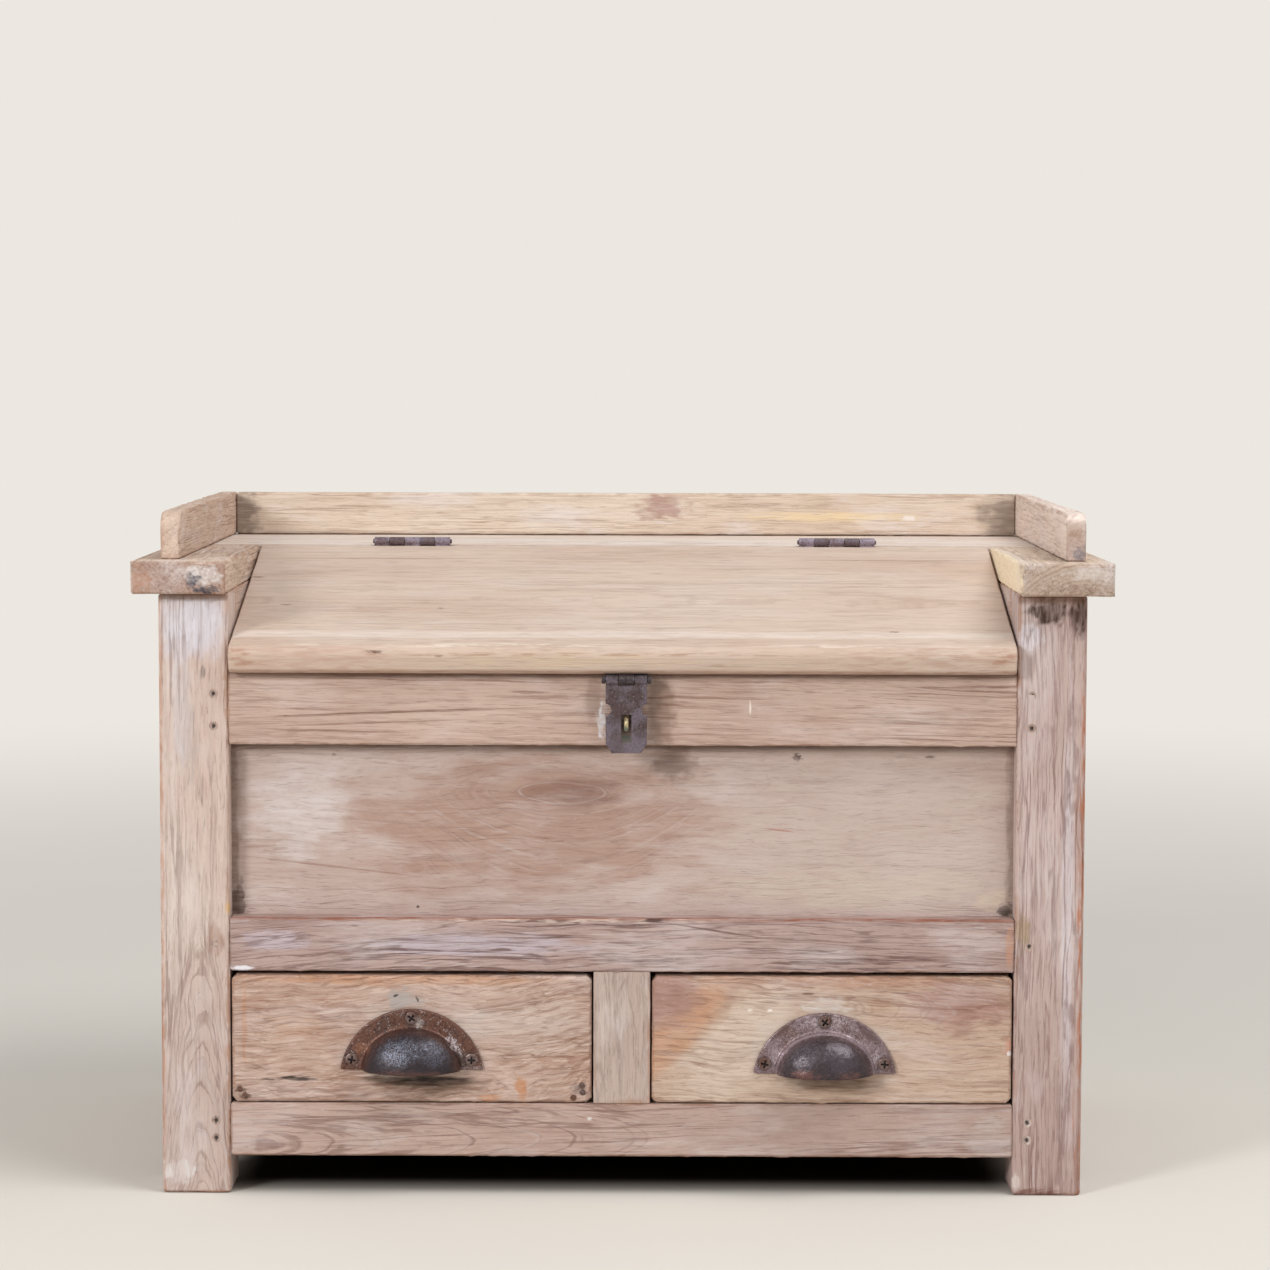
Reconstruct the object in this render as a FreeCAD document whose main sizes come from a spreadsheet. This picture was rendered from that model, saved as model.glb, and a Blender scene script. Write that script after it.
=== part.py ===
import FreeCAD, Part
import math
import os
import re
import Sketcher

# A small chest of pale wood: a framed well under a sloping lid, over two drawers.
# Millimetres, +Z up, +X to the right and +Y to the back. The origin is on the floor,
# below the middle of the whole chest. In the formulas y is 0 at the front of the posts.

SIZES = [
    # Frame
    ("frame_width", 600, "over the posts, left to right"),
    ("frame_depth", 330, "over the posts, front to back"),
    ("post_size", 45, "square of a post"),
    ("post_height", 393, "floor to the underside of the top"),
    ("leg_clear", 25, "floor to the lowest rails"),
    ("bottom_rail_height", 35, "lowest rails"),
    ("drawer_opening_height", 87, "between the bottom and middle rail"),
    ("middle_rail_height", 35, "rail above the drawers"),
    ("top_rail_drop", 98, "foot of the top rail below the top of the posts"),
    ("top_rail_stock", 62, "top rail before its top is planed to the lid"),
    ("rail_thickness", 28, "all rails, front to back"),
    ("side_top_rail_height", 60, "rail under an arm"),
    ("back_top_rail_height", 45, "rail under the back of the top"),
    ("back_seam_height", 205, "floor to the seam of the back boards"),
    ("panel_thickness", 8, "front, side and back panels"),
    ("front_panel_recess", 15, "front panel behind the rails"),
    ("groove_depth", 8, "panel edge in its groove"),
    ("tenon_length", 24, "tenons of the front and back rails"),
    ("tenon_web", 2, "wood left between the tenons that meet in a post"),
    ("tenon_thickness", 10, "rail tenons"),
    ("tenon_shoulder", 9, "rail above and below its tenon"),
    ("top_tenon_height", 29, "tenon of the front top rail"),
    ("divider_width", 37, "upright between the drawers"),
    ("divider_tenon_width", 22, "its tenons, left to right"),
    ("divider_tenon_length", 10, "its tenons, up and down"),
    ("stub_size", 20, "square stub on top of a post"),
    ("stub_height", 10, "stub in the board above"),
    ("joint_gap", 0.1, "room round a tenon or in a groove"),
    ("peg_size", 6, "wooden peg"),
    ("peg_inset", 9.5, "peg from the inner edge of its post"),
    ("low_top_peg", 12, "lower peg above the foot of the top rail"),
    ("high_top_peg", 33, "upper peg above the foot of the top rail"),
    ("bottom_peg_spread", 5.8, "pegs above and below the middle of the bottom rail"),
    # Top, arms and gallery
    ("top_thickness", 21, "top board and arms"),
    ("arm_side_overhang", 16, "arm past the posts at the side"),
    ("arm_front_overhang", 12, "arm past the posts at the front"),
    ("top_back_overhang", 10, "top board past the posts at the back"),
    ("arm_tongue_length", 14, "tongue of an arm in the top board"),
    ("arm_tongue_width", 34, "tongue of an arm"),
    ("arm_tongue_thickness", 8, "tongue of an arm"),
    ("gallery_height", 31, "gallery above the top"),
    ("gallery_thickness", 13, "gallery boards"),
    ("gallery_side_inset", 16, "gallery from the outer edge of an arm"),
    ("gallery_front_setback", 26, "gallery from the front end of an arm"),
    ("gallery_back_inset", 2, "gallery from the back edge"),
    ("gallery_corner_round", 11, "front top corner of a side gallery"),
    # Lid
    ("hinge_line", 190, "front edge of the top board, behind the posts' front"),
    ("lid_slope", 15, "degrees, down to the front"),
    ("lid_length", 211, "along the slope"),
    ("lid_thickness", 19, "lid board"),
    ("lid_side_gap", 1.5, "lid to each arm"),
    ("lid_back_gap", 0.8, "lid to the top board"),
    ("lid_seat_gap", 0.3, "lid above the top rail"),
    ("lid_top_round", 8, "upper front edge"),
    ("lid_bottom_round", 5, "lower front edge"),
    # Inside
    ("floor_thickness", 10, "floor of the well"),
    ("floor_groove", 6, "floor in the middle rail"),
    ("floor_gap", 0.3, "floor to the posts and the back"),
    ("floor_bearer_width", 24, "bearer under the floor"),
    ("floor_bearer_height", 10, "bearer under the floor"),
    ("runner_width", 20, "side runner"),
    ("runner_height", 18, "runners"),
    ("centre_runner_width", 60, "runner shared by both drawers"),
    ("guide_height", 15, "guide strip between the drawers"),
    # Drawers
    ("drawer_side_gap", 1, "drawer to the post and divider"),
    ("drawer_top_gap", 2.6, "drawer front to the middle rail"),
    ("drawer_bottom_gap", 0.6, "drawer front to the bottom rail"),
    ("drawer_run_gap", 0.3, "drawer sides above the runners"),
    ("drawer_back_gap", 0.5, "drawer to the back boards"),
    ("drawer_front_thickness", 20, "drawer front"),
    ("drawer_front_round", 2.5, "edges of a drawer front"),
    ("drawer_board", 10, "drawer sides and back"),
    ("drawer_side_height", 82, "drawer sides"),
    ("drawer_lap", 10, "front left before the end of a side"),
    ("drawer_bottom_thickness", 6, "drawer bottom"),
    ("drawer_bottom_lift", 6, "drawer bottom above the runners"),
    ("drawer_bottom_groove", 4, "drawer bottom in its grooves"),
    # Cup pulls and their screws
    ("pull_width", 93, "plate of a pull"),
    ("pull_height", 40, "plate of a pull"),
    ("pull_plate", 2.5, "plate of a pull"),
    ("pull_cup_width", 66, "cup of a pull"),
    ("pull_cup_height", 28, "cup of a pull"),
    ("pull_reach", 24, "cup in front of the drawer"),
    ("pull_wall", 2.5, "cup of a pull"),
    ("pull_lift", 22, "pull above the foot of the drawer front"),
    ("right_pull_shift", 4.6, "right pull, left of its drawer's middle"),
    ("right_pull_drop", 2, "right pull below the left one"),
    ("pull_screw_inset", 6, "top screw below the top of the plate"),
    ("pull_screw_spacing", 39, "side screws from the middle"),
    ("pull_screw_lift", 6.5, "side screws above the foot of the plate"),
    ("pull_screw_head", 8.5, "screw head"),
    ("pull_screw_shank", 3.5, "screw shank"),
    ("pull_screw_length", 16, "screw"),
    ("screw_gap", 0.05, "room round screws, pegs and the staple"),
    # Butt hinges
    ("hinge_length", 53, "along the barrel"),
    ("hinge_offset", 148, "middle of a hinge from the middle of the lid"),
    ("hinge_barrel", 6, "diameter"),
    ("hinge_pin", 3, "diameter"),
    ("hinge_pin_end", 1, "pin past each end of the barrel"),
    ("hinge_leaf_thickness", 1.6, "leaf"),
    ("hinge_leaf_drop", 16, "leaf below the top"),
    ("hinge_lift", 2.6, "pin above the top"),
    ("knuckle_gap", 0.3, "between knuckles"),
    ("knuckle_clearance", 0.4, "round a barrel"),
    ("pin_fit", 0.05, "room round a pin"),
    ("hinge_screw_head", 6, "screw head"),
    ("hinge_screw_shank", 3, "screw shank"),
    ("hinge_screw_length", 14, "screw"),
    ("hinge_screw_spacing", 18, "between screws"),
    ("hinge_screw_drop", 9, "screws below the top"),
    # Hasp and staple
    ("hasp_offset", 2.5, "hasp right of the middle"),
    ("hasp_pin_out", 9.8, "pin in front of the posts"),
    ("hasp_barrel", 6.2, "diameter"),
    ("hasp_pin", 3.2, "diameter"),
    ("hasp_pin_length", 32, "over its riveted heads"),
    ("hasp_pin_head", 5, "diameter of the riveted heads"),
    ("hasp_plate", 1.8, "leaf and strap"),
    ("hasp_width", 26.6, "leaf and strap"),
    ("hasp_leaf_length", 24, "leaf under the lid"),
    ("hasp_leaf_inset", 0.8, "leaf let into the lid"),
    ("hasp_screw_spacing", 8, "leaf screws from the middle"),
    ("hasp_screw_back", 15, "leaf screws behind the pin"),
    ("strap_length", 47.4, "below the pin"),
    ("strap_notch_width", 10.8, "notch for the leaf's knuckle"),
    ("strap_notch_depth", 3.6, "notch below the pin"),
    ("strap_waist_drop", 19.4, "waist below the pin"),
    ("strap_waist_radius", 4, "waist notches"),
    ("strap_waist_depth", 3.5, "waist notches"),
    ("strap_corner_width", 4, "lower corners cut off"),
    ("strap_corner_height", 6, "lower corners cut off"),
    ("slot_width", 6.5, "slot of the strap"),
    ("slot_length", 17.8, "slot of the strap"),
    ("slot_drop", 22.7, "top of the slot below the pin"),
    ("staple_wire", 2.9, "diameter"),
    ("staple_height", 10.4, "over the wire"),
    ("staple_past_strap", 3, "staple past the back of the hanging strap"),
    ("staple_depth", 18, "legs in the rail"),
    ("staple_slot_gap", 0.7, "staple below the top of the slot"),
]

FORMULAS = {
    "front_y": "(pull_reach - frame_depth - top_back_overhang) / 2",
    "outer_x": "frame_width / 2",
    "inner_x": "frame_width / 2 - post_size",
    "rear_post_y": "frame_depth - post_size",
    "tenon_back": "(rail_thickness + tenon_thickness) / 2",
    "side_tenon_length": "post_size - tenon_back - tenon_web",
    "peg_length": "tenon_back + tenon_web / 2",
    "back_rail_y": "frame_depth - rail_thickness",
    "back_panel_y": "back_rail_y + (rail_thickness - panel_thickness) / 2",
    "back_edge_y": "frame_depth + top_back_overhang",
    "side_panel_x": "inner_x + (rail_thickness - panel_thickness) / 2",
    "drawer_z": "leg_clear + bottom_rail_height",
    "middle_rail_z": "drawer_z + drawer_opening_height",
    "panel_z": "middle_rail_z + middle_rail_height",
    "top_rail_z": "post_height - top_rail_drop",
    "top_z": "post_height + top_thickness",
    "arm_x": "outer_x + arm_side_overhang",
    "gallery_x": "arm_x - gallery_side_inset",
    "gallery_front_y": "gallery_front_setback - arm_front_overhang",
    "gallery_back_y": "back_edge_y - gallery_back_inset",
    "floor_z": "middle_rail_z + floor_bearer_height",
    "lid_back_y": "hinge_line - lid_back_gap",
    "hinge_y": "hinge_line - lid_back_gap / 2",
    "hinge_z": "top_z + hinge_lift",
    "knuckle_length": "hinge_length / 5",
    "drawer_end_y": "back_panel_y - drawer_back_gap",
    "drawer_side_z": "drawer_z + drawer_run_gap",
    "drawer_bottom_z": "drawer_side_z + drawer_bottom_lift",
    "drawer_front_z": "drawer_z + drawer_bottom_gap",
    "drawer_front_top": "middle_rail_z - drawer_top_gap",
    "pull_radius": "(pull_width * pull_width / 4 + pull_height * pull_height) / (2 * pull_height)",
    # The hasp's pin, across the lid's thickness, along its slope, and as a height
    "hasp_pin_across": "hasp_leaf_inset - lid_thickness - hasp_barrel / 2",
    "hasp_pin_along": "(hasp_pin_across * sin(lid_slope) - hasp_pin_out - lid_back_y) / cos(lid_slope)",
    "hasp_pin_z": "top_z + hasp_pin_along * sin(lid_slope) + hasp_pin_across * cos(lid_slope)",
    "hasp_leaf_under": "hasp_pin_across + hasp_barrel / 2 - hasp_plate",
    "hasp_leaf_front": "hasp_pin_along + hasp_barrel / 2 + knuckle_clearance",
    "hasp_leaf_back": "hasp_pin_along + hasp_leaf_length",
    "staple_reach": "hasp_pin_out - hasp_plate / 2 + staple_past_strap",
    "staple_z": "hasp_pin_z - slot_drop - staple_slot_gap - staple_height / 2",
    "staple_leg": "(staple_height - staple_wire) / 2",
}

DOC = FreeCAD.newDocument("mule_chest")
SHEET = DOC.addObject("Spreadsheet::Sheet", "Dims")
for row, (name, size, meaning) in enumerate(SIZES, start=1):
    SHEET.set(f"A{row}", name)
    SHEET.set(f"B{row}", str(size))
    SHEET.set(f"C{row}", meaning)
    SHEET.setAlias(f"B{row}", name)
DOC.recompute()

ALIASES = {name for name, size, meaning in SIZES}
X_AXIS = FreeCAD.Vector(1, 0, 0)
Y_AXIS = FreeCAD.Vector(0, 1, 0)
Z_AXIS = FreeCAD.Vector(0, 0, 1)
SIDES = (("left", -1), ("right", 1))
NODES = []


def formula(text):
    """Write a formula out in cells of the sheet."""
    def word(match):
        name = match.group(0)
        if name in FORMULAS:
            return "(" + formula(FORMULAS[name]) + ")"
        return "Dims." + name if name in ALIASES else name
    return re.sub(r"[A-Za-z_]\w*", word, str(text))


def bind(thing, prop, text):
    thing.setExpression(prop, formula(text))


def place(thing, x, y, z):
    """Put a thing at x, y, z, with y counted from the front of the posts."""
    bind(thing, "Placement.Base.x", x)
    bind(thing, "Placement.Base.y", f"front_y + ({y})")
    bind(thing, "Placement.Base.z", z)


def turn(thing, axis, angle):
    """Turn a thing about an axis through its own origin."""
    thing.Placement = FreeCAD.Placement(FreeCAD.Vector(), FreeCAD.Rotation(axis, 1))
    bind(thing, "Placement.Rotation.Angle", angle)


def length(pair):
    return f"({pair[1]}) - ({pair[0]})"


def around(middle, width):
    return (f"({middle}) - ({width}) / 2", f"({middle}) + ({width}) / 2")


def beside(side, pair):
    """A pair of x formulas on the right, or mirrored to the left."""
    low, high = pair
    return pair if side > 0 else (f"-({high})", f"-({low})")


def grown(box):
    """The same box with room for a joint all round."""
    return [(f"({low}) - joint_gap", f"({high}) + joint_gap") for low, high in box]


def block(x, y, z):
    """A square block between two corners."""
    thing = DOC.addObject("Part::Box", "block")
    for prop, pair in zip(("Length", "Width", "Height"), (x, y, z)):
        bind(thing, prop, length(pair))
    place(thing, x[0], y[0], z[0])
    return thing


def lid_block(x, along, across):
    """A block that lies with the sloping lid, measured from its upper back edge."""
    thing = DOC.addObject("Part::Box", "lid_block")
    for prop, pair in zip(("Length", "Width", "Height"), (x, along, across)):
        bind(thing, prop, length(pair))
    turn(thing, X_AXIS, "lid_slope")
    place(thing, x[0], lid_y(along[0], across[0]), lid_z(along[0], across[0]))
    return thing


def lid_y(along, across):
    return f"lid_back_y + ({along}) * cos(lid_slope) - ({across}) * sin(lid_slope)"


def lid_z(along, across):
    return f"top_z + ({along}) * sin(lid_slope) + ({across}) * cos(lid_slope)"


def rod_x(x, y, z, diameter):
    """A round rod from left to right."""
    thing = DOC.addObject("Part::Cylinder", "rod")
    bind(thing, "Radius", f"({diameter}) / 2")
    bind(thing, "Height", length(x))
    turn(thing, Y_AXIS, 90)
    place(thing, x[0], y, z)
    return thing


def rod_y(x, y, z, diameter):
    """A round rod from front to back."""
    thing = DOC.addObject("Part::Cylinder", "rod")
    bind(thing, "Radius", f"({diameter}) / 2")
    bind(thing, "Height", length(y))
    turn(thing, X_AXIS, -90)
    place(thing, x, y[0], z)
    return thing


def screw(at, angle, head, shank, long, room=0):
    """A countersunk screw, turned about X from pointing straight up."""
    cone = DOC.addObject("Part::Cone", "screw_head")
    bind(cone, "Radius1", f"{head} / 2 + {room}")
    bind(cone, "Radius2", f"{shank} / 2 + {room}")
    bind(cone, "Height", f"({head} - {shank}) / 2")
    stem = DOC.addObject("Part::Cylinder", "screw_stem")
    bind(stem, "Radius", f"{shank} / 2 + {room}")
    bind(stem, "Height", f"{long} + {room}")
    for thing in (cone, stem):
        turn(thing, X_AXIS, angle)
        place(thing, *at)
    return fused([cone, stem])


def small_screw(at, angle, room):
    """A screw of the hinges and the hasp, or the hole for one."""
    return screw(at, angle, "hinge_screw_head", "hinge_screw_shank", "hinge_screw_length", room)


def fused(things):
    if len(things) == 1:
        return things[0]
    whole = DOC.addObject("Part::MultiFuse", "joined")
    whole.Shapes = things
    whole.Refine = True
    return whole


def cut(base, tools):
    rest = DOC.addObject("Part::Cut", "cut")
    rest.Base = base
    rest.Tool = fused(tools)
    rest.Refine = True
    return rest


def node(name, thing):
    """Give a finished piece its name."""
    thing.Label = name
    NODES.append(thing)
    return thing


def board(name, boxes, cuts=()):
    """A board joined from boxes, such as a rail and its tenons, with its joints cut out."""
    whole = fused([block(*box) for box in boxes])
    return node(name, cut(whole, list(cuts)) if cuts else whole)


def profile(name, role, points, thickness):
    """A body drawn as an outline on an origin plane and padded equally to both sides."""
    body = DOC.addObject("PartDesign::Body", name)
    plane = next(part for part in body.Origin.OriginFeatures if part.Role == role)
    sketch = body.newObject("Sketcher::SketchObject", name + "_outline")
    sketch.AttachmentSupport = [(plane, "")]
    sketch.MapMode = "FlatFace"
    count = len(points)
    # The outline starts as a ring of points, which its constraints then pull to size.
    ring = [FreeCAD.Vector(math.cos(math.tau * i / count), math.sin(math.tau * i / count), 0)
            for i in range(count)]
    for i in range(count):
        sketch.addGeometry(Part.LineSegment(ring[i], ring[(i + 1) % count]))
    for i in range(count):
        sketch.addConstraint(Sketcher.Constraint("Coincident", i, 2, (i + 1) % count, 1))
    for i, point in enumerate(points):
        for kind, text, start in zip(("DistanceX", "DistanceY"), point, (ring[i].x, ring[i].y)):
            index = sketch.addConstraint(Sketcher.Constraint(kind, -1, 1, i, 1, start))
            bind(sketch, f"Constraints[{index}]", text)
    pad = body.newObject("PartDesign::Pad", name + "_pad")
    pad.Profile = sketch
    pad.Midplane = True
    bind(pad, "Length", thickness)
    DOC.recompute()
    return body


def round_edges(body, radius, wanted):
    """Fillet the edges of a body that the test picks out."""
    base = body.Tip
    box = base.Shape.BoundBox
    names = [f"Edge{i}" for i, edge in enumerate(base.Shape.Edges, start=1) if wanted(edge, box)]
    fillet = body.newObject("PartDesign::Fillet", body.Name + "_round")
    fillet.Base = (base, names)
    bind(fillet, "Radius", radius)
    DOC.recompute()


def near(one, other):
    return abs(one - other) < 1e-6


def upper_front(edge, box):
    return near(edge.CenterOfMass.y, box.YMin) and near(edge.CenterOfMass.z, box.ZMax)


def lower_front(edge, box):
    return near(edge.CenterOfMass.y, box.YMin) and near(edge.CenterOfMass.z, box.ZMin)


def front_face(edge, box):
    return near(edge.BoundBox.YMax, box.YMin)


# Rails and panels, as boxes that the posts and rails are also cut to fit
WIDE = ("-inner_x", "inner_x")
RAIL_Y = ("0", "rail_thickness")
BACK_Y = ("back_rail_y", "frame_depth")
SIDE_X = ("inner_x", "inner_x + rail_thickness")
BETWEEN_POSTS = ("post_size", "rear_post_y")
BOTTOM_RAIL_Z = ("leg_clear", "drawer_z")
MIDDLE_RAIL_Z = ("middle_rail_z", "panel_z")
TOP_RAIL_Z = ("top_rail_z", "top_rail_z + top_rail_stock")
SIDE_TOP_Z = ("post_height - side_top_rail_height", "post_height")
BACK_TOP_Z = ("post_height - back_top_rail_height", "post_height")
TOP_TENON_Z = ("top_rail_z + tenon_shoulder", "top_rail_z + tenon_shoulder + top_tenon_height")


def inside(pair):
    """The tenon's share of a rail's height."""
    return (f"{pair[0]} + tenon_shoulder", f"{pair[1]} - tenon_shoulder")


def middle_of(pair):
    return f"(({pair[0]}) + ({pair[1]})) / 2"


def end_tenon(side, y, z):
    """The tenon at one end of a front or back rail."""
    x = beside(side, ("inner_x", "inner_x + tenon_length"))
    return (x, around(middle_of(y), "tenon_thickness"), z)


def side_tenon(side, end, z):
    """The tenon at the front or rear end of a side rail."""
    ends = {"front": ("post_size - side_tenon_length", "post_size"),
            "rear": ("rear_post_y", "rear_post_y + side_tenon_length")}
    return (beside(side, around(middle_of(SIDE_X), "tenon_thickness")), ends[end], z)


def side_panel(side):
    return (beside(side, ("side_panel_x", "side_panel_x + panel_thickness")),
            ("post_size - groove_depth", "rear_post_y + groove_depth"),
            ("drawer_z - groove_depth", f"{SIDE_TOP_Z[0]} + groove_depth"))


PANEL_X = ("-(inner_x + groove_depth)", "inner_x + groove_depth")
FRONT_PANEL = (PANEL_X, ("front_panel_recess", "front_panel_recess + panel_thickness"),
               ("panel_z - groove_depth", "top_rail_z + groove_depth"))
BACK_PANEL_Y = ("back_panel_y", "back_panel_y + panel_thickness")
BACK_LOWER = (PANEL_X, BACK_PANEL_Y, ("drawer_z - groove_depth", "back_seam_height"))
BACK_UPPER = (PANEL_X, BACK_PANEL_Y, ("back_seam_height", f"{BACK_TOP_Z[0]} + groove_depth"))
DIVIDER_X = around(0, "divider_width")
DIVIDER_TENON_X = around(0, "divider_tenon_width")
TENON_Y = around(middle_of(RAIL_Y), "tenon_thickness")
DIVIDER_FOOT = (DIVIDER_TENON_X, TENON_Y, ("drawer_z - divider_tenon_length", "drawer_z"))
DIVIDER_HEAD = (DIVIDER_TENON_X, TENON_Y, ("middle_rail_z", "middle_rail_z + divider_tenon_length"))
FLOOR = (around(0, "2 * (inner_x - floor_gap)"),
         ("rail_thickness - floor_groove", "back_panel_y - floor_gap"),
         ("floor_z", "floor_z + floor_thickness"))
PEG_HEIGHTS = ("top_rail_z + low_top_peg", "top_rail_z + high_top_peg", middle_of(MIDDLE_RAIL_Z),
               f"{middle_of(BOTTOM_RAIL_Z)} - bottom_peg_spread",
               f"{middle_of(BOTTOM_RAIL_Z)} + bottom_peg_spread")


def pegs(side, room=0):
    """The pegs at one end of the front rails, or the holes for them."""
    x = beside(side, ("inner_x + peg_inset",) * 2)[0]
    return [rod_y(x, ("0", f"peg_length + {room}"), z, f"peg_size + 2 * {room}") for z in PEG_HEIGHTS]


def stub(side, y):
    """The stub on top of a post, set into the board above it."""
    x = beside(side, around("(inner_x + outer_x) / 2", "stub_size"))
    return (x, around(middle_of(y), "stub_size"), ("post_height", "post_height + stub_height"))


# Posts: square legs with mortises for the rails and grooves for the panels
FRONT_POST_Y = ("0", "post_size")
REAR_POST_Y = ("rear_post_y", "frame_depth")
for hand, side in SIDES:
    post_x = beside(side, ("inner_x", "outer_x"))
    side_rails = (inside(BOTTOM_RAIL_Z), inside(SIDE_TOP_Z))
    front_joints = [end_tenon(side, RAIL_Y, z)
                    for z in (inside(BOTTOM_RAIL_Z), inside(MIDDLE_RAIL_Z), TOP_TENON_Z)]
    front_joints += [side_tenon(side, "front", z) for z in side_rails]
    front_joints += [FRONT_PANEL, side_panel(side)]
    board(f"front_{hand}_post",
          [(post_x, FRONT_POST_Y, ("0", "post_height")), stub(side, FRONT_POST_Y)],
          [block(*grown(joint)) for joint in front_joints] + pegs(side, "screw_gap"))
    rear_joints = [end_tenon(side, BACK_Y, z) for z in (inside(BOTTOM_RAIL_Z), inside(BACK_TOP_Z))]
    rear_joints += [side_tenon(side, "rear", z) for z in side_rails]
    rear_joints += [BACK_LOWER, BACK_UPPER, side_panel(side)]
    board(f"rear_{hand}_post",
          [(post_x, REAR_POST_Y, ("0", "post_height")), stub(side, REAR_POST_Y)],
          [block(*grown(joint)) for joint in rear_joints])

# Front rails, the panel between them and the upright between the drawers
PEG_HOLES = pegs(-1, "screw_gap") + pegs(1, "screw_gap")
lid_space = lid_block(("-frame_width", "frame_width"), ("-2 * lid_length", "0"),
                      ("-(lid_thickness + lid_seat_gap)", "post_height"))
HASP_X = around("hasp_offset", "hasp_width")
hasp_notch = lid_block(around("hasp_offset", "hasp_width + 2 * knuckle_clearance"),
                       ("-2 * lid_length", "hasp_leaf_back + knuckle_clearance"),
                       ("hasp_leaf_under - knuckle_clearance", "post_height"))
staple_holes = [rod_y("hasp_offset", ("-staple_depth", "staple_depth + screw_gap"),
                      f"staple_z + {way} * staple_leg", "staple_wire + 2 * screw_gap") for way in (-1, 1)]


def front_rail(name, rail_z, tenon_z, cuts):
    tenons = [end_tenon(side, RAIL_Y, tenon_z) for hand, side in SIDES]
    board(name, [(WIDE, RAIL_Y, rail_z)] + tenons, PEG_HOLES + cuts)


front_rail("front_bottom_rail", BOTTOM_RAIL_Z, inside(BOTTOM_RAIL_Z), [block(*grown(DIVIDER_FOOT))])
front_rail("front_middle_rail", MIDDLE_RAIL_Z, inside(MIDDLE_RAIL_Z),
           [block(*grown(joint)) for joint in (DIVIDER_HEAD, FRONT_PANEL, FLOOR)])
front_rail("front_top_rail", TOP_RAIL_Z, TOP_TENON_Z,
           [block(*grown(FRONT_PANEL)), lid_space, hasp_notch] + staple_holes)
board("front_panel", [FRONT_PANEL])
board("drawer_divider", [(DIVIDER_X, RAIL_Y, ("drawer_z", "middle_rail_z")), DIVIDER_FOOT, DIVIDER_HEAD])
node("joint_pegs", fused(pegs(-1) + pegs(1)))

# Sides: a rail under the arm, a rail at the foot, and a panel between them
for hand, side in SIDES:
    for place_name, rail_z in (("top", SIDE_TOP_Z), ("bottom", BOTTOM_RAIL_Z)):
        tenons = [side_tenon(side, end, inside(rail_z)) for end in ("front", "rear")]
        board(f"{hand}_side_{place_name}_rail",
              [(beside(side, SIDE_X), BETWEEN_POSTS, rail_z)] + tenons,
              [block(*grown(side_panel(side)))])
    board(f"{hand}_side_panel", [side_panel(side)])

# Back: two rails with two boards between them
for place_name, rail_z in (("top", BACK_TOP_Z), ("bottom", BOTTOM_RAIL_Z)):
    tenons = [end_tenon(side, BACK_Y, inside(rail_z)) for hand, side in SIDES]
    board(f"back_{place_name}_rail", [(WIDE, BACK_Y, rail_z)] + tenons,
          [block(*grown(BACK_LOWER)), block(*grown(BACK_UPPER))])
board("back_lower_board", [BACK_LOWER])
board("back_upper_board", [BACK_UPPER])

# Inside: the floor of the well on its bearers, and the runners for the drawers
RUNNER_Y = ("rail_thickness", "back_rail_y")
RUNNER_Z = ("drawer_z - runner_height", "drawer_z")
board("chest_floor", [FLOOR])
for hand, side in SIDES:
    board(f"{hand}_floor_bearer",
          [(beside(side, ("side_panel_x - floor_bearer_width", "side_panel_x")), BETWEEN_POSTS,
            ("middle_rail_z", "floor_z"))])
    board(f"{hand}_drawer_runner",
          [(beside(side, ("inner_x - runner_width", "inner_x")), RUNNER_Y, RUNNER_Z)])
board("centre_drawer_runner", [(around(0, "centre_runner_width"), RUNNER_Y, RUNNER_Z)])
board("drawer_guide", [(DIVIDER_X, RUNNER_Y, ("drawer_z", "drawer_z + guide_height"))])

# Butt hinges: five knuckles on a pin, three on the lid's leaf and two on the frame's
HINGE_BARREL_X = ("-(hinge_length / 2 + hinge_pin_end + knuckle_clearance)",
                  "hinge_length / 2 + hinge_pin_end + knuckle_clearance")
LID_LEAF_Y = ("lid_back_y - hinge_leaf_thickness", "lid_back_y")
FRAME_LEAF_Y = ("hinge_line", "hinge_line + hinge_leaf_thickness")
LEAF_TOP = "hinge_z - hinge_barrel / 2 - knuckle_clearance"


def shifted(pair, by):
    return (f"{by} + {pair[0]}", f"{by} + {pair[1]}")


def hinge_leaf(middle, y, knuckles):
    """A leaf let into the edge of its board, with its rolled knuckles."""
    pieces = [block(around(middle, "hinge_length"), y, ("top_z - hinge_leaf_drop", LEAF_TOP))]
    for knuckle in knuckles:
        start = f"{middle} - hinge_length / 2 + {knuckle} * knuckle_length"
        x = (f"{start} + knuckle_gap / 2", f"{start} + knuckle_length - knuckle_gap / 2")
        pieces.append(block(x, y, (LEAF_TOP, "hinge_z")))
        pieces.append(rod_x(x, "hinge_y", "hinge_z", "hinge_barrel"))
    bore = rod_x(shifted(HINGE_BARREL_X, middle), "hinge_y", "hinge_z", "hinge_pin + 2 * pin_fit")
    return cut(fused(pieces), [bore])


def hinge_screws(middle, y, angle, room=0):
    z = "top_z - hinge_screw_drop"
    return [small_screw((f"{middle} + {step} * hinge_screw_spacing", y, z), angle, room)
            for step in (-1, 0, 1)]


def leaf_seat(middle, y):
    """What is cut from a board for one hinge leaf and for the barrel."""
    seat = block(around(middle, "hinge_length + 2 * joint_gap"), y, ("top_z - hinge_leaf_drop", "hinge_z"))
    barrel_x = shifted(HINGE_BARREL_X, middle)
    return [seat, rod_x(barrel_x, "hinge_y", "hinge_z", "hinge_barrel + 2 * knuckle_clearance")]


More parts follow.
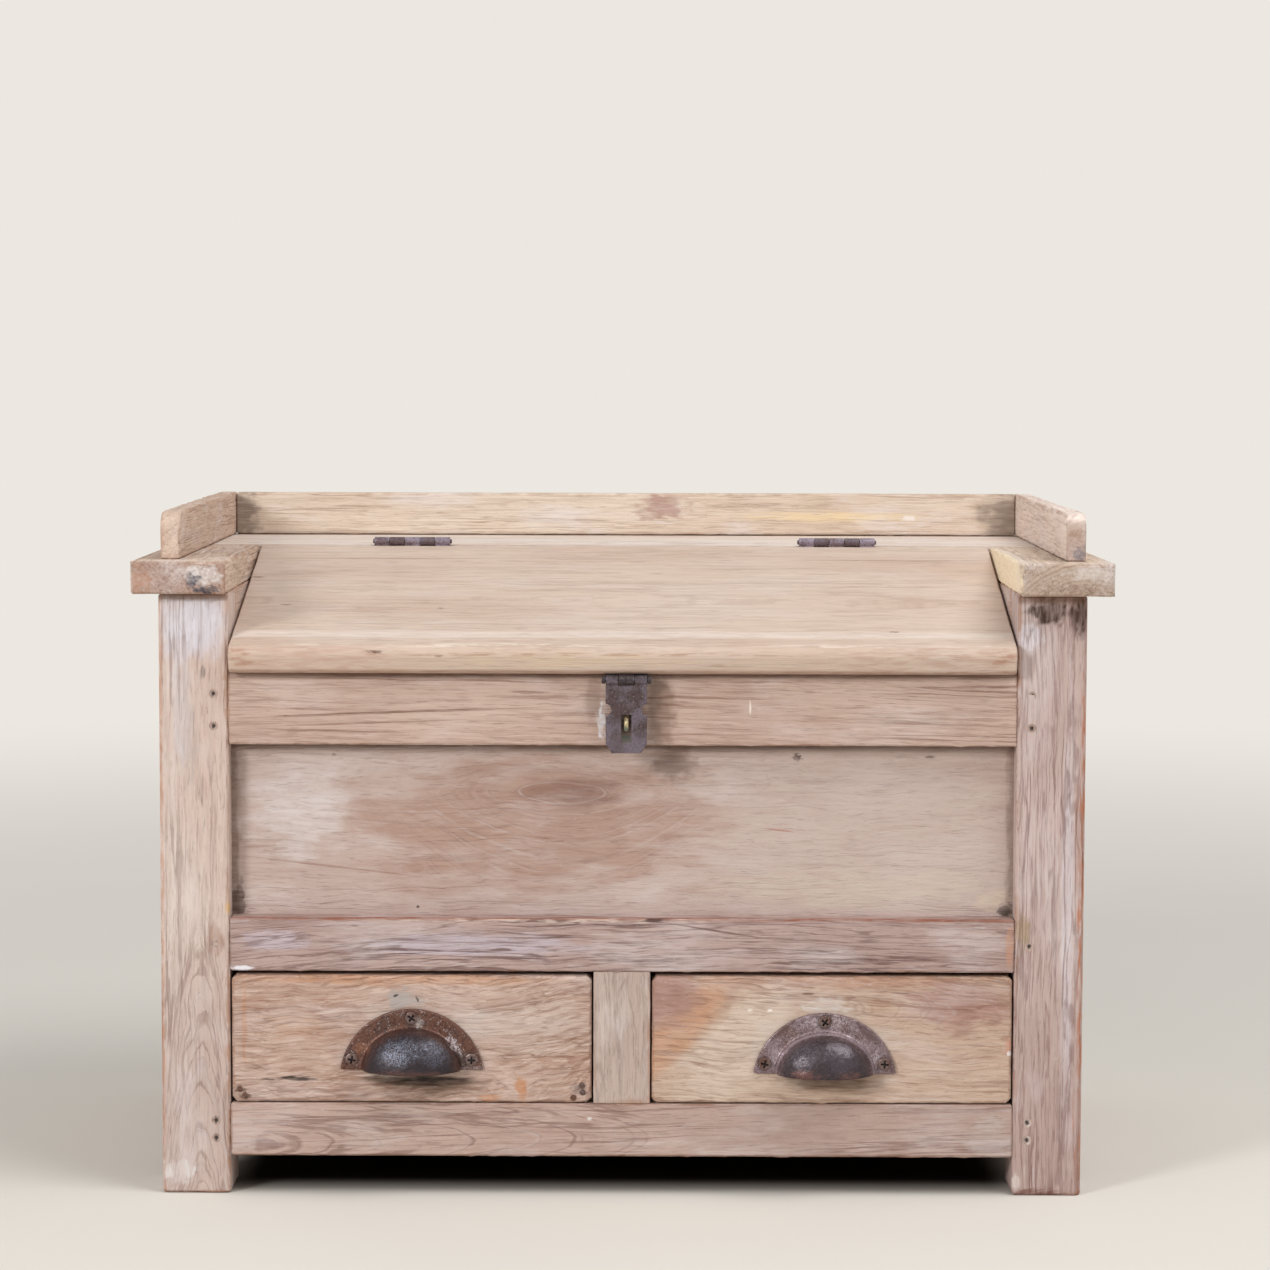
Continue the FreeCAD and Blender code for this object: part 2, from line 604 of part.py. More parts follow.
FRAME_SEATS = []
LID_SEATS = []
for hand, side in SIDES:
    middle = f"{side} * hinge_offset"
    lid_holes = hinge_screws(middle, "lid_back_y", 90, "screw_gap")
    frame_holes = hinge_screws(middle, "hinge_line", -90, "screw_gap")
    node(f"{hand}_hinge_lid_leaf", cut(hinge_leaf(middle, LID_LEAF_Y, (0, 2, 4)), lid_holes))
    node(f"{hand}_hinge_frame_leaf", cut(hinge_leaf(middle, FRAME_LEAF_Y, (1, 3)), frame_holes))
    LID_SEATS += leaf_seat(middle, (LID_LEAF_Y[0], "hinge_line")) + lid_holes
    FRAME_SEATS += leaf_seat(middle, ("lid_back_y", FRAME_LEAF_Y[1])) + frame_holes
PIN_X = around(0, "hinge_length + 2 * hinge_pin_end")
node("hinge_pins", fused([rod_x(shifted(PIN_X, f"{side} * hinge_offset"), "hinge_y", "hinge_z", "hinge_pin")
                          for hand, side in SIDES]))
for name, y, angle in (("hinge_lid_screws", "lid_back_y", 90), ("hinge_frame_screws", "hinge_line", -90)):
    left, right = [hinge_screws(f"{side} * hinge_offset", y, angle) for hand, side in SIDES]
    node(name, fused(left + right))

# Top board behind the lid, and the arms beside it
TOP_Z = ("post_height", "top_z")
ARM_X = ("inner_x", "arm_x")


def arm_tongue(side):
    return (beside(side, around(middle_of(ARM_X), "arm_tongue_width")),
            ("hinge_line", "hinge_line + arm_tongue_length"),
            around(middle_of(TOP_Z), "arm_tongue_thickness"))


TOP_JOINTS = [grown(arm_tongue(side)) for hand, side in SIDES]
TOP_JOINTS += [grown(stub(side, REAR_POST_Y)) for hand, side in SIDES]
board("top_board", [(("-arm_x", "arm_x"), ("hinge_line", "back_edge_y"), TOP_Z)],
      [block(*joint) for joint in TOP_JOINTS] + FRAME_SEATS)
for hand, side in SIDES:
    board(f"{hand}_arm",
          [(beside(side, ARM_X), ("-arm_front_overhang", "hinge_line"), TOP_Z), arm_tongue(side)],
          [block(*grown(stub(side, FRONT_POST_Y)))])

# Gallery: a back board between two sides whose front corners are rounded
GALLERY_Z = ("top_z", "top_z + gallery_height")
board("back_gallery", [(around(0, "2 * (gallery_x - gallery_thickness)"),
                        ("gallery_back_y - gallery_thickness", "gallery_back_y"), GALLERY_Z)])
for hand, side in SIDES:
    gallery = profile(f"{hand}_gallery_board", "YZ_Plane",
                      [("0", "0"), ("gallery_back_y - gallery_front_y", "0"),
                       ("gallery_back_y - gallery_front_y", "gallery_height"), ("0", "gallery_height")],
                      "gallery_thickness")
    round_edges(gallery, "gallery_corner_round", upper_front)
    place(gallery, f"{side} * (gallery_x - gallery_thickness / 2)", "gallery_front_y", "top_z")
    node(f"{hand}_gallery", gallery)

# Lid: one board, its back edge cut plumb and its front edge rounded
lid_board = profile("lid_board", "YZ_Plane",
                    [("0", "0"), ("-lid_thickness * tan(lid_slope)", "-lid_thickness"),
                     ("-lid_length", "-lid_thickness"), ("-lid_length", "0")],
                    "2 * (inner_x - lid_side_gap)")
round_edges(lid_board, "lid_top_round", upper_front)
round_edges(lid_board, "lid_bottom_round", lower_front)
turn(lid_board, X_AXIS, "lid_slope")
place(lid_board, 0, "lid_back_y", "top_z")
leaf_bed = lid_block(around("hasp_offset", "hasp_width + 2 * joint_gap"),
                     ("-2 * lid_length", "hasp_leaf_back + joint_gap"),
                     ("-2 * lid_thickness", "hasp_leaf_inset - lid_thickness"))


def hasp_leaf_screws(room=0):
    along = "hasp_pin_along + hasp_screw_back"
    y, z = lid_y(along, "hasp_leaf_under"), lid_z(along, "hasp_leaf_under")
    return [small_screw((f"hasp_offset + {way} * hasp_screw_spacing", y, z), "lid_slope", room)
            for way in (-1, 1)]


HASP_SCREW_HOLES = hasp_leaf_screws("screw_gap")
node("lid", cut(lid_board, LID_SEATS + [leaf_bed] + HASP_SCREW_HOLES))

# Hasp: a leaf let into the underside of the lid, and a strap that hangs from its pin
KNUCKLE_X = around("hasp_offset", "strap_notch_width - 2 * knuckle_gap")
LEAF_ACROSS = ("hasp_leaf_under", "hasp_leaf_under + hasp_plate")
hasp_bore = rod_x(around("hasp_offset", "2 * hasp_width"), "-hasp_pin_out", "hasp_pin_z",
                  "hasp_pin + 2 * pin_fit")
leaf_pieces = [lid_block(HASP_X, ("hasp_leaf_front", "hasp_leaf_back"), LEAF_ACROSS),
               lid_block(KNUCKLE_X, ("hasp_pin_along", "hasp_leaf_front"), LEAF_ACROSS),
               rod_x(KNUCKLE_X, "-hasp_pin_out", "hasp_pin_z", "hasp_barrel")]
node("hasp_leaf", cut(fused(leaf_pieces), [hasp_bore] + HASP_SCREW_HOLES))
node("hasp_leaf_screws", fused(hasp_leaf_screws()))
HEAD_LENGTH = "(hasp_pin_length - hasp_width) / 2 - knuckle_gap"
pin_pieces = [rod_x(around("hasp_offset", "hasp_pin_length"), "-hasp_pin_out", "hasp_pin_z", "hasp_pin")]
for way in (-1, 1):
    head_x = around(f"hasp_offset + {way} * (hasp_pin_length - ({HEAD_LENGTH})) / 2", HEAD_LENGTH)
    pin_pieces.append(rod_x(head_x, "-hasp_pin_out", "hasp_pin_z", "hasp_pin_head"))
node("hasp_pin", fused(pin_pieces))

HALF = "hasp_width / 2"
NOTCH = "strap_notch_width / 2"
strap_sheet = profile("strap_sheet", "XZ_Plane",
                      [(f"-{HALF}", "0"), (f"-{HALF}", "strap_corner_height - strap_length"),
                       (f"strap_corner_width - {HALF}", "-strap_length"),
                       (f"{HALF} - strap_corner_width", "-strap_length"),
                       (HALF, "strap_corner_height - strap_length"), (HALF, "0"),
                       (NOTCH, "0"), (NOTCH, "-strap_notch_depth"),
                       (f"-{NOTCH}", "-strap_notch_depth"), (f"-{NOTCH}", "0")],
                      "hasp_plate")
place(strap_sheet, "hasp_offset", "-hasp_pin_out", "hasp_pin_z")
strap_knuckles = [rod_x((f"hasp_offset + {low}", f"hasp_offset + {high}"), "-hasp_pin_out", "hasp_pin_z",
                        "hasp_barrel") for low, high in ((f"-{HALF}", f"-{NOTCH}"), (NOTCH, HALF))]
STRAP_Y = around("-hasp_pin_out", "3 * hasp_plate")
strap_cuts = [hasp_bore, block(around("hasp_offset", "slot_width"), STRAP_Y,
                               ("hasp_pin_z - slot_drop - slot_length", "hasp_pin_z - slot_drop"))]
for way in (-1, 1):
    waist_x = f"hasp_offset + {way} * ({HALF} + strap_waist_radius - strap_waist_depth)"
    strap_cuts.append(rod_y(waist_x, STRAP_Y, "hasp_pin_z - strap_waist_drop", "2 * strap_waist_radius"))
node("hasp_strap", cut(fused([strap_sheet] + strap_knuckles), strap_cuts))

# Staple: a loop of wire whose two legs are driven into the top rail
BEND_Y = "staple_height / 2 - staple_reach"
bend = DOC.addObject("Part::Torus", "staple_bend")
bind(bend, "Radius1", "staple_leg")
bind(bend, "Radius2", "staple_wire / 2")
bend.Angle3 = 180
bend.Placement = FreeCAD.Placement(FreeCAD.Vector(), FreeCAD.Rotation(Z_AXIS, -Y_AXIS, X_AXIS, "XYZ"))
place(bend, "hasp_offset", BEND_Y, "staple_z")
LEG_Y = (BEND_Y, "staple_depth")
staple_legs = [rod_y("hasp_offset", LEG_Y, f"staple_z + {way} * staple_leg", "staple_wire")
               for way in (-1, 1)]
node("staple", fused([bend] + staple_legs))


def ellipsoid(x, y, z, wide, reach, high):
    """An egg-shaped solid about a point, from its three half sizes."""
    thing = DOC.addObject("Part::Ellipsoid", "ellipsoid")
    for prop, text in (("Radius1", high), ("Radius2", wide), ("Radius3", reach)):
        bind(thing, prop, text)
    turn(thing, Z_AXIS, 180)
    place(thing, x, y, z)
    return thing


def pull_screws(middle, foot, room=0):
    places = ((middle, f"{foot} + pull_height - pull_screw_inset"),
              (f"{middle} - pull_screw_spacing", f"{foot} + pull_screw_lift"),
              (f"{middle} + pull_screw_spacing", f"{foot} + pull_screw_lift"))
    sizes = ("pull_screw_head", "pull_screw_shank", "pull_screw_length")
    return [screw((x, "-pull_plate", z), -90, *sizes, room) for x, z in places]


def cup_pull(middle, foot):
    """A plate cut from a disc, with a hollow quarter-round cup that is open below."""
    disc = rod_y(middle, ("-pull_plate", "0"), f"{foot} + pull_height - pull_radius", "2 * pull_radius")
    plate = DOC.addObject("Part::Common", "pull_plate_shape")
    plate.Base = disc
    plate.Tool = block(around(middle, "2 * pull_width"), ("-pull_plate", "0"),
                       (foot, f"{foot} + 2 * pull_height"))
    cup = ellipsoid(middle, "0", foot, "pull_cup_width / 2", "pull_reach", "pull_cup_height")
    cup.Angle1 = 0
    cup.Angle3 = 180
    hollow = ellipsoid(middle, "0", foot, "pull_cup_width / 2 - pull_wall", "pull_reach - pull_wall",
                       "pull_cup_height - pull_wall")
    return fused([plate, cup]), hollow


# Drawers: a lapped front, two sides, a back and a bottom in grooves, with a cup pull
for hand, side in SIDES:
    x = beside(side, ("divider_width / 2 + drawer_side_gap", "inner_x - drawer_side_gap"))
    left_x = (x[0], f"{x[0]} + drawer_board")
    right_x = (f"{x[1]} - drawer_board", x[1])
    side_y = ("drawer_lap", "drawer_end_y")
    side_z = ("drawer_side_z", "drawer_side_z + drawer_side_height")
    left_box = (left_x, side_y, side_z)
    right_box = (right_x, side_y, side_z)
    bottom_box = ((f"{left_x[1]} - drawer_bottom_groove", f"{right_x[0]} + drawer_bottom_groove"),
                  ("drawer_front_thickness - drawer_bottom_groove", "drawer_end_y"),
                  ("drawer_bottom_z", "drawer_bottom_z + drawer_bottom_thickness"))
    middle = middle_of(x)
    foot = "drawer_front_z + pull_lift"
    if hand == "right":
        middle = f"{middle} - right_pull_shift"
        foot = f"{foot} - right_pull_drop"
    holes = pull_screws(middle, foot, "screw_gap")

    wide = f"({length(x)})"
    high = "(drawer_front_top - drawer_front_z)"
    face = profile(f"{hand}_drawer_face", "XZ_Plane",
                   [("0", "0"), (wide, "0"), (wide, high), ("0", high)], "drawer_front_thickness")
    round_edges(face, "drawer_front_round", front_face)
    place(face, x[0], "drawer_front_thickness / 2", "drawer_front_z")
    rebates = [block(*grown(box)) for box in (left_box, right_box, bottom_box)]
    node(f"{hand}_drawer_front", cut(face, rebates + holes))

    bottom_groove = [block(*grown(bottom_box))]
    board(f"{hand}_drawer_left_side", [left_box], bottom_groove)
    board(f"{hand}_drawer_right_side", [right_box], bottom_groove)
    board(f"{hand}_drawer_back", [((left_x[1], right_x[0]), ("drawer_end_y - drawer_board", "drawer_end_y"),
                                   (f"{bottom_box[2][1]} + joint_gap", side_z[1]))])
    board(f"{hand}_drawer_bottom", [bottom_box])

    pull_body, hollow = cup_pull(middle, foot)
    node(f"{hand}_drawer_pull", cut(pull_body, [hollow] + holes))
    node(f"{hand}_drawer_pull_screws", fused(pull_screws(middle, foot)))

DOC.recompute()
for thing in DOC.Objects:
    if "Invalid" in thing.State or "Error" in thing.State:
        raise RuntimeError(f"{thing.Name} failed: {thing.State}")
for piece in NODES:
    if piece.Shape.isNull() or not piece.Shape.isValid() or not piece.Shape.Solids:
        raise RuntimeError(f"{piece.Label} has no sound solid")

os.makedirs("parts", exist_ok=True)
for piece in NODES:
    piece.Shape.exportStep(f"parts/{piece.Label}.step")
print(len(NODES), "pieces written")
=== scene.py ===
import math
import bmesh
import bpy
from mathutils import Matrix, Vector


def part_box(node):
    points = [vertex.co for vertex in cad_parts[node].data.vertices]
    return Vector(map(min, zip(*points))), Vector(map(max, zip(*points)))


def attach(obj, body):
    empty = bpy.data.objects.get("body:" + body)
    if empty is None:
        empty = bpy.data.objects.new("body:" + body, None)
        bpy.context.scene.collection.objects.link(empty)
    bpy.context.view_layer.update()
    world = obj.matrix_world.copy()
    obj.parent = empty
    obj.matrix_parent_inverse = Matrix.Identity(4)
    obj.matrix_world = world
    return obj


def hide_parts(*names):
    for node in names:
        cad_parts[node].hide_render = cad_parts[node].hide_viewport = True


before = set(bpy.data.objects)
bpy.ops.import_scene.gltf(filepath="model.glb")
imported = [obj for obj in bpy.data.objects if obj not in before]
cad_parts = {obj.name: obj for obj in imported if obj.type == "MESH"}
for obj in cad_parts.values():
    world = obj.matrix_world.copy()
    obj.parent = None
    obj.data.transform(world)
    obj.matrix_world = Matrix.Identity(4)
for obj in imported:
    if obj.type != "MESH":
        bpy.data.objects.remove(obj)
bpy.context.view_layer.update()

# Corner posts
# Four square legs sawn from old hardwood and bleached. The front two carry the rails in mortises,
# and their outer arrises are worn back to brown wood.
MM = 0.001


def select_only(piece):
    bpy.ops.object.select_all(action="DESELECT")
    piece.select_set(True)
    bpy.context.view_layer.objects.active = piece


def pick(piece, kind, wanted):
    """In edit mode, select the edges or faces that pass a test."""
    bpy.ops.mesh.select_mode(type=kind)
    bpy.ops.mesh.select_all(action="DESELECT")
    shape = bmesh.from_edit_mesh(piece.data)
    for element in shape.edges if kind == "EDGE" else shape.faces:
        if wanted(element):
            element.select_set(True)
    bmesh.update_edit_mesh(piece.data)


def in_sides(low, high, names):
    """A test for edges and faces that lie in all the named sides of a box, such as -x+z."""
    signs, axes = names[::2], names[1::2]
    planes = [("xyz".index(axis), low if sign == "-" else high) for sign, axis in zip(signs, axes)]
    return lambda element: all(
        abs(vert.co[axis] - corner[axis]) < 0.01 * MM for axis, corner in planes for vert in element.verts)


def apply_modifier(piece, kind, **settings):
    select_only(piece)
    modifier = piece.modifiers.new(kind.lower(), kind)
    for name, value in settings.items():
        setattr(modifier, name, value)
    bpy.ops.object.modifier_apply(modifier=modifier.name)


def smooth_faces(piece):
    """Round shading over eased edges, with the broad faces kept flat."""
    select_only(piece)
    bpy.ops.object.shade_smooth_by_angle(angle=math.radians(40))
    apply_modifier(piece, "WEIGHTED_NORMAL", keep_sharp=True)


def nick_arrises(piece, low, high, ease, depth):
    """Press small knocks into a board's arrises, and leave its faces flat."""
    arris = piece.vertex_groups.new(name="arris")
    for vert in piece.data.vertices:
        nearest, second, _ = sorted(min(vert.co[i] - low[i], high[i] - vert.co[i]) for i in range(3))
        if second < 1.05 * ease:
            arris.add([vert.index], 1.0 if nearest > 0.05 * ease else 0.2, "REPLACE")
    knocks = bpy.data.textures.new("knocks", "CLOUDS")
    knocks.noise_scale = 9 * MM
    knocks.noise_depth = 3
    knocks.contrast = 2.4
    knocks.intensity = 0.8
    apply_modifier(piece, "DISPLACE", texture=knocks, texture_coords="LOCAL", vertex_group="arris",
                   strength=-depth, mid_level=0.0)


def board(name, low, high, ease=1.2, rounds=(), slides=(), nicks=0.9):
    """A sawn board: some edges are slid or rounded first, and then all its sharp edges are eased."""
    low, high = Vector(low), Vector(high)
    along_step, across_step, most_cuts = 4 * MM, 12 * MM, 100
    bpy.ops.object.select_all(action="DESELECT")
    bpy.ops.mesh.primitive_cube_add(size=1, location=(low + high) / 2)
    piece = bpy.context.object
    piece.name = piece.data.name = name
    piece.scale = high - low
    bpy.ops.object.transform_apply(location=True, rotation=True, scale=True)
    bpy.ops.object.mode_set(mode="EDIT")
    for names, offset in slides:
        pick(piece, "EDGE", in_sides(low, high, names))
        bpy.ops.transform.translate(value=offset)
    for names, radius in rounds:
        pick(piece, "EDGE", in_sides(low, high, names))
        bpy.ops.mesh.bevel(offset=radius * MM, segments=8, affect="EDGES")
    pick(piece, "EDGE", lambda edge: edge.calc_face_angle(0) > math.radians(40))
    bpy.ops.mesh.bevel(offset=ease * MM, segments=3, affect="EDGES")
    span = high - low
    for axis in range(3):
        step = along_step if span[axis] == max(span) else across_step
        cuts = min(most_cuts, int(span[axis] / step))
        if cuts > 0:
            pick(piece, "EDGE", lambda edge: edge.calc_length() > 0.5 * span[axis] and abs(
                (edge.verts[0].co - edge.verts[1].co).normalized()[axis]) > 0.9)
            bpy.ops.mesh.subdivide(number_cuts=cuts)
    bpy.ops.object.mode_set(mode="OBJECT")
    nick_arrises(piece, low, high, ease * MM, nicks * MM)
    return piece


def cad_copy(name, node_name):
    """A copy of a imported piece's mesh, merged into one skin."""
    piece = bpy.data.objects.new(name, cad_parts[node_name].data.copy())
    bpy.context.collection.objects.link(piece)
    piece.data.materials.clear()
    select_only(piece)
    bpy.ops.mesh.customdata_custom_splitnormals_clear()
    bpy.ops.object.mode_set(mode="EDIT")
    bpy.ops.mesh.select_all(action="SELECT")
    bpy.ops.mesh.remove_doubles(threshold=0.002 * MM)
    bpy.ops.mesh.dissolve_limited(angle_limit=math.radians(1))
    bpy.ops.object.mode_set(mode="OBJECT")
    return piece


def cut_away(piece, cutter):
    apply_modifier(piece, "BOOLEAN", operation="DIFFERENCE", solver="EXACT", object=cutter)
    bpy.data.objects.remove(cutter)


def cut_seat(piece, low, high):
    """Chop a square seat for an iron piece into a board."""
    low, high = Vector(low), Vector(high)
    bpy.ops.object.select_all(action="DESELECT")
    bpy.ops.mesh.primitive_cube_add(size=1, location=(low + high) / 2, scale=high - low)
    cut_away(piece, bpy.context.object)


def fit(piece, material, body, slot, *nodes):
    """Give a finished piece its material and its place on the moving model."""
    piece.data.materials.clear()
    piece.data.materials.append(material)
    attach(piece, body)
    if nodes:
        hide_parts(*nodes)


def tint(red, green, blue):
    """A colour as a paint chart gives it, 0 to 255, in the light values that shaders take."""
    shares = [value / 255 for value in (red, green, blue)]
    return (*(s / 12.92 if s <= 0.04045 else ((s + 0.055) / 1.055) ** 2.4 for s in shares), 1.0)


def node(tree, kind, inputs=None, **settings):
    """Add a shader node, set it up, and feed its inputs with values or with other nodes' outputs."""
    added = tree.nodes.new("ShaderNode" + kind)
    for name, value in settings.items():
        setattr(added, name, value)
    for socket, value in (inputs or {}).items():
        if isinstance(value, bpy.types.NodeSocket):
            tree.links.new(value, added.inputs[socket])
        else:
            added.inputs[socket].default_value = value
    return added


def calc(tree, operation, first, second=0.0):
    return node(tree, "Math", {0: first, 1: second}, operation=operation).outputs[0]


def vector(tree, operation, first, second):
    return node(tree, "VectorMath", {0: first, 1: second}, operation=operation).outputs[0]


def length(tree, place):
    return node(tree, "VectorMath", {0: place}, operation="LENGTH").outputs["Value"]


def ramp(tree, value, start, end, first=0.0, last=1.0):
    inputs = {"Value": value, "From Min": start, "From Max": end, "To Min": first, "To Max": last}
    return node(tree, "MapRange", inputs, interpolation_type="SMOOTHSTEP").outputs[0]


def blend(tree, share, first, second):
    return node(tree, "Mix", {0: share, 6: first, 7: second}, data_type="RGBA").outputs[2]


def noise(tree, place, stretch, detail=2.0, output="Fac", crisp=0.5):
    """Cloudy noise, with so many clouds to the metre along each axis."""
    spread = vector(tree, "MULTIPLY", place, stretch)
    inputs = {"Vector": spread, "Scale": 1.0, "Detail": detail, "Roughness": crisp}
    return node(tree, "TexNoise", inputs).outputs[output]


def shader_group(name, inputs, outputs):
    """An empty node group, its inputs given by their usual values, and its outputs by their kinds."""
    tree = bpy.data.node_groups.new(name, "ShaderNodeTree")
    for label, usual in inputs.items():
        kind = "Float" if isinstance(usual, float) else {3: "Vector", 4: "Color"}[len(usual)]
        socket = tree.interface.new_socket(label, in_out="INPUT", socket_type="NodeSocket" + kind)
        socket.default_value = usual
    for label, kind in outputs.items():
        tree.interface.new_socket(label, in_out="OUTPUT", socket_type="NodeSocket" + kind)
    return tree, tree.nodes.new("NodeGroupInput").outputs, tree.nodes.new("NodeGroupOutput").inputs


def drawn_line(tree, value, width):
    """1 along the lines where a noise crosses its middle value, and 0 beside them."""
    return ramp(tree, calc(tree, "ABSOLUTE", calc(tree, "SUBTRACT", value, 0.5)), width, 0.15 * width)


def make_grain_group():
    """Wood of a log that lies along X, its heart on the axis: year rings, fibres, pores and chalk."""
    tree, given, made = shader_group("sawn_grain", {
        "Place": (0.0, 0.0, 0.0), "Ring width": 3 * MM, "Bow": 0.0, "Wander": 4 * MM, "Swirl": 0.0,
        "Ripple": 2.2 * MM, "Contrast": 0.6, "Ringing": 0.6, "Fineness": 7.0, "Edging": 0.2, "Lining": 0.5,
        "Strokes": 0.3, "Chalking": 0.4, "Pale": tint(222, 202, 188), "Warm": tint(190, 158, 140),
        "Line": tint(140, 105, 88), "Ring": tint(140, 105, 88), "Chalk": tint(230, 222, 222)},
        {"Colour": "Color", "Height": "Float", "Roughness": "Float"})
    place = given["Place"]
    for stretch, detail, reach in (((2.2, 11, 11), 5, given["Wander"]), ((12, 9, 9), 2, given["Swirl"]),
                                   ((28, 75, 75), 3, given["Ripple"])):
        clouds = noise(tree, given["Place"], stretch, detail, "Color")
        drift = vector(tree, "SUBTRACT", clouds, (0.5, 0.5, 0.5))
        across = node(tree, "CombineXYZ", {1: reach, 2: reach}).outputs[0]
        place = vector(tree, "ADD", place, vector(tree, "MULTIPLY", drift, across))
    run = node(tree, "SeparateXYZ", {0: place}).outputs[0]
    bowed = calc(tree, "MULTIPLY", given["Bow"], calc(tree, "MULTIPLY", run, run))
    radius = calc(tree, "ADD", length(tree, vector(tree, "MULTIPLY", place, (0, 1, 1))), bowed)
    years = calc(tree, "DIVIDE", radius, given["Ring width"])
    slow_change = {"W": years, "Scale": 0.31, "Detail": 2.0}
    seasons = node(tree, "TexNoise", slow_change, noise_dimensions="1D").outputs["Fac"]
    years = calc(tree, "ADD", years, calc(tree, "MULTIPLY", seasons, 3.0))
    ring = calc(tree, "FRACT", years)
    one_year = {"W": calc(tree, "FLOOR", years)}
    year_tone = node(tree, "TexWhiteNoise", one_year, noise_dimensions="1D").outputs["Value"]
    strong_year = ramp(tree, year_tone, 0.2, 0.9, 0.25, 1.1)
    showing = ramp(tree, noise(tree, place, (11, 26, 26), 3), 0.32, 0.52)
    late = calc(tree, "MULTIPLY", calc(tree, "POWER", ring, given["Fineness"]), ramp(tree, ring, 1.0, 0.97))
    late = calc(tree, "MULTIPLY", late, ramp(tree, showing, 0.0, 1.0, 0.35, 1.0))
    edge = calc(tree, "MULTIPLY", ramp(tree, ring, 0.84, 0.93), ramp(tree, ring, 1.0, 0.95))
    edge = calc(tree, "MULTIPLY", edge, showing)
    sheet = node(tree, "CombineXYZ", {0: run, 1: years}).outputs[0]
    vein = drawn_line(tree, noise(tree, sheet, (9, 1.1, 1), 5), 0.035)
    there = ramp(tree, noise(tree, place, (8, 45, 45), 3), 0.4, 0.62)
    split = calc(tree, "MULTIPLY", drawn_line(tree, noise(tree, place, (3.5, 150, 150), 3), 0.036), there)
    hair = drawn_line(tree, noise(tree, place, (16, 280, 280), 3), 0.1)
    elsewhere = vector(tree, "ADD", place, (0.3, 0.1, 0.2))
    pale_hair = drawn_line(tree, noise(tree, elsewhere, (20, 250, 250), 3), 0.1)
    stroke = noise(tree, place, (46, 430, 430), 4, crisp=0.6)
    fibre = noise(tree, place, (48, 560, 560), 4, crisp=0.6)
    tooth = noise(tree, place, (240, 520, 520), 3, crisp=0.65)
    pore = ramp(tree, noise(tree, place, (60, 950, 950), 1), 0.63, 0.74)
    fleck = calc(tree, "MULTIPLY", ramp(tree, noise(tree, place, (42, 420, 420), 2), 0.62, 0.72), there)
    patch = ramp(tree, noise(tree, place, (5, 16, 16), 2), 0.25, 0.75)
    cloud = ramp(tree, noise(tree, place, (16, 42, 42), 5), 0.48, 0.68)
    chalky = calc(tree, "MULTIPLY", cloud, ramp(tree, fibre, 0.35, 0.6, 0.35, 1.0))
    colour = blend(tree, patch, given["Pale"], given["Warm"])
    colour = blend(tree, calc(tree, "MULTIPLY", year_tone, 0.2), colour, given["Warm"])
    layers = (
        (late, given["Ringing"], strong_year, given["Ring"]),
        (edge, given["Edging"], strong_year, given["Chalk"]),
        (ramp(tree, stroke, 0.46, 0.36), given["Strokes"], 0.6, given["Line"]),
        (ramp(tree, stroke, 0.53, 0.63), given["Strokes"], 0.9, given["Pale"]),
        (hair, given["Contrast"], 0.3, given["Line"]),
        (pale_hair, given["Contrast"], 0.5, given["Pale"]),
        (vein, given["Ringing"], 0.6, given["Line"]),
        (split, given["Lining"], 1.0, given["Line"]),
        (ramp(tree, fibre, 0.44, 0.32), given["Contrast"], 0.4, given["Line"]),
        (pore, given["Contrast"], 0.8, given["Line"]),
        (ramp(tree, tooth, 0.4, 0.3), given["Contrast"], 0.5, given["Line"]),
        (ramp(tree, fibre, 0.54, 0.66), given["Contrast"], 0.5, given["Pale"]),
        (ramp(tree, tooth, 0.62, 0.74), given["Contrast"], 0.4, given["Chalk"]),
        (calc(tree, "MAXIMUM", chalky, fleck), given["Chalking"], 1.0, given["Chalk"]),
    )
    for mask, amount, share, tone in layers:
        amount = calc(tree, "MULTIPLY", amount, share)
        colour = blend(tree, calc(tree, "MULTIPLY", mask, amount), colour, tone)
    sunk = calc(tree, "ADD", calc(tree, "MULTIPLY", split, 0.6), calc(tree, "MULTIPLY", pore, 0.7))
    height = calc(tree, "ADD", calc(tree, "MULTIPLY", tooth, 0.5), calc(tree, "MULTIPLY", fibre, 0.8))
    height = calc(tree, "ADD", height, calc(tree, "MULTIPLY", stroke, given["Strokes"]))
    tree.links.new(colour, made["Colour"])
    tree.links.new(calc(tree, "SUBTRACT", height, sunk), made["Height"])
    tree.links.new(ramp(tree, fibre, 0.3, 0.7, 0.85, 0.62), made["Roughness"])
    return tree


def make_arris_group():
    """How worn a board is near its edges: 1 on an arris and 0 beyond the given width."""
    tree, given, made = shader_group("arris_wear", {
        "Place": (0.0, 0.0, 0.0), "Low": (0.0, 0.0, 0.0), "High": (1.0, 1.0, 1.0), "Width": 4 * MM},
        {"Mask": "Float"})
    inside = vector(tree, "MINIMUM", vector(tree, "SUBTRACT", given["Place"], given["Low"]),
                    vector(tree, "SUBTRACT", given["High"], given["Place"]))
    x, y, z = node(tree, "SeparateXYZ", {0: inside}).outputs
    middle = calc(tree, "MAXIMUM", calc(tree, "MINIMUM", x, y),
                  calc(tree, "MINIMUM", calc(tree, "MAXIMUM", x, y), z))
    ragged = calc(tree, "SUBTRACT", noise(tree, given["Place"], (90, 90, 90), 4), 0.5)
    ragged = calc(tree, "MULTIPLY", calc(tree, "MULTIPLY", ragged, 2.5), given["Width"])
    share = calc(tree, "DIVIDE", calc(tree, "ADD", middle, ragged), given["Width"])
    handled = ramp(tree, noise(tree, given["Place"], (16, 16, 16), 3), 0.4, 0.6, 0.15, 1.0)
    tree.links.new(calc(tree, "MULTIPLY", ramp(tree, share, 1.0, 0.1), handled), made["Mask"])
    return tree


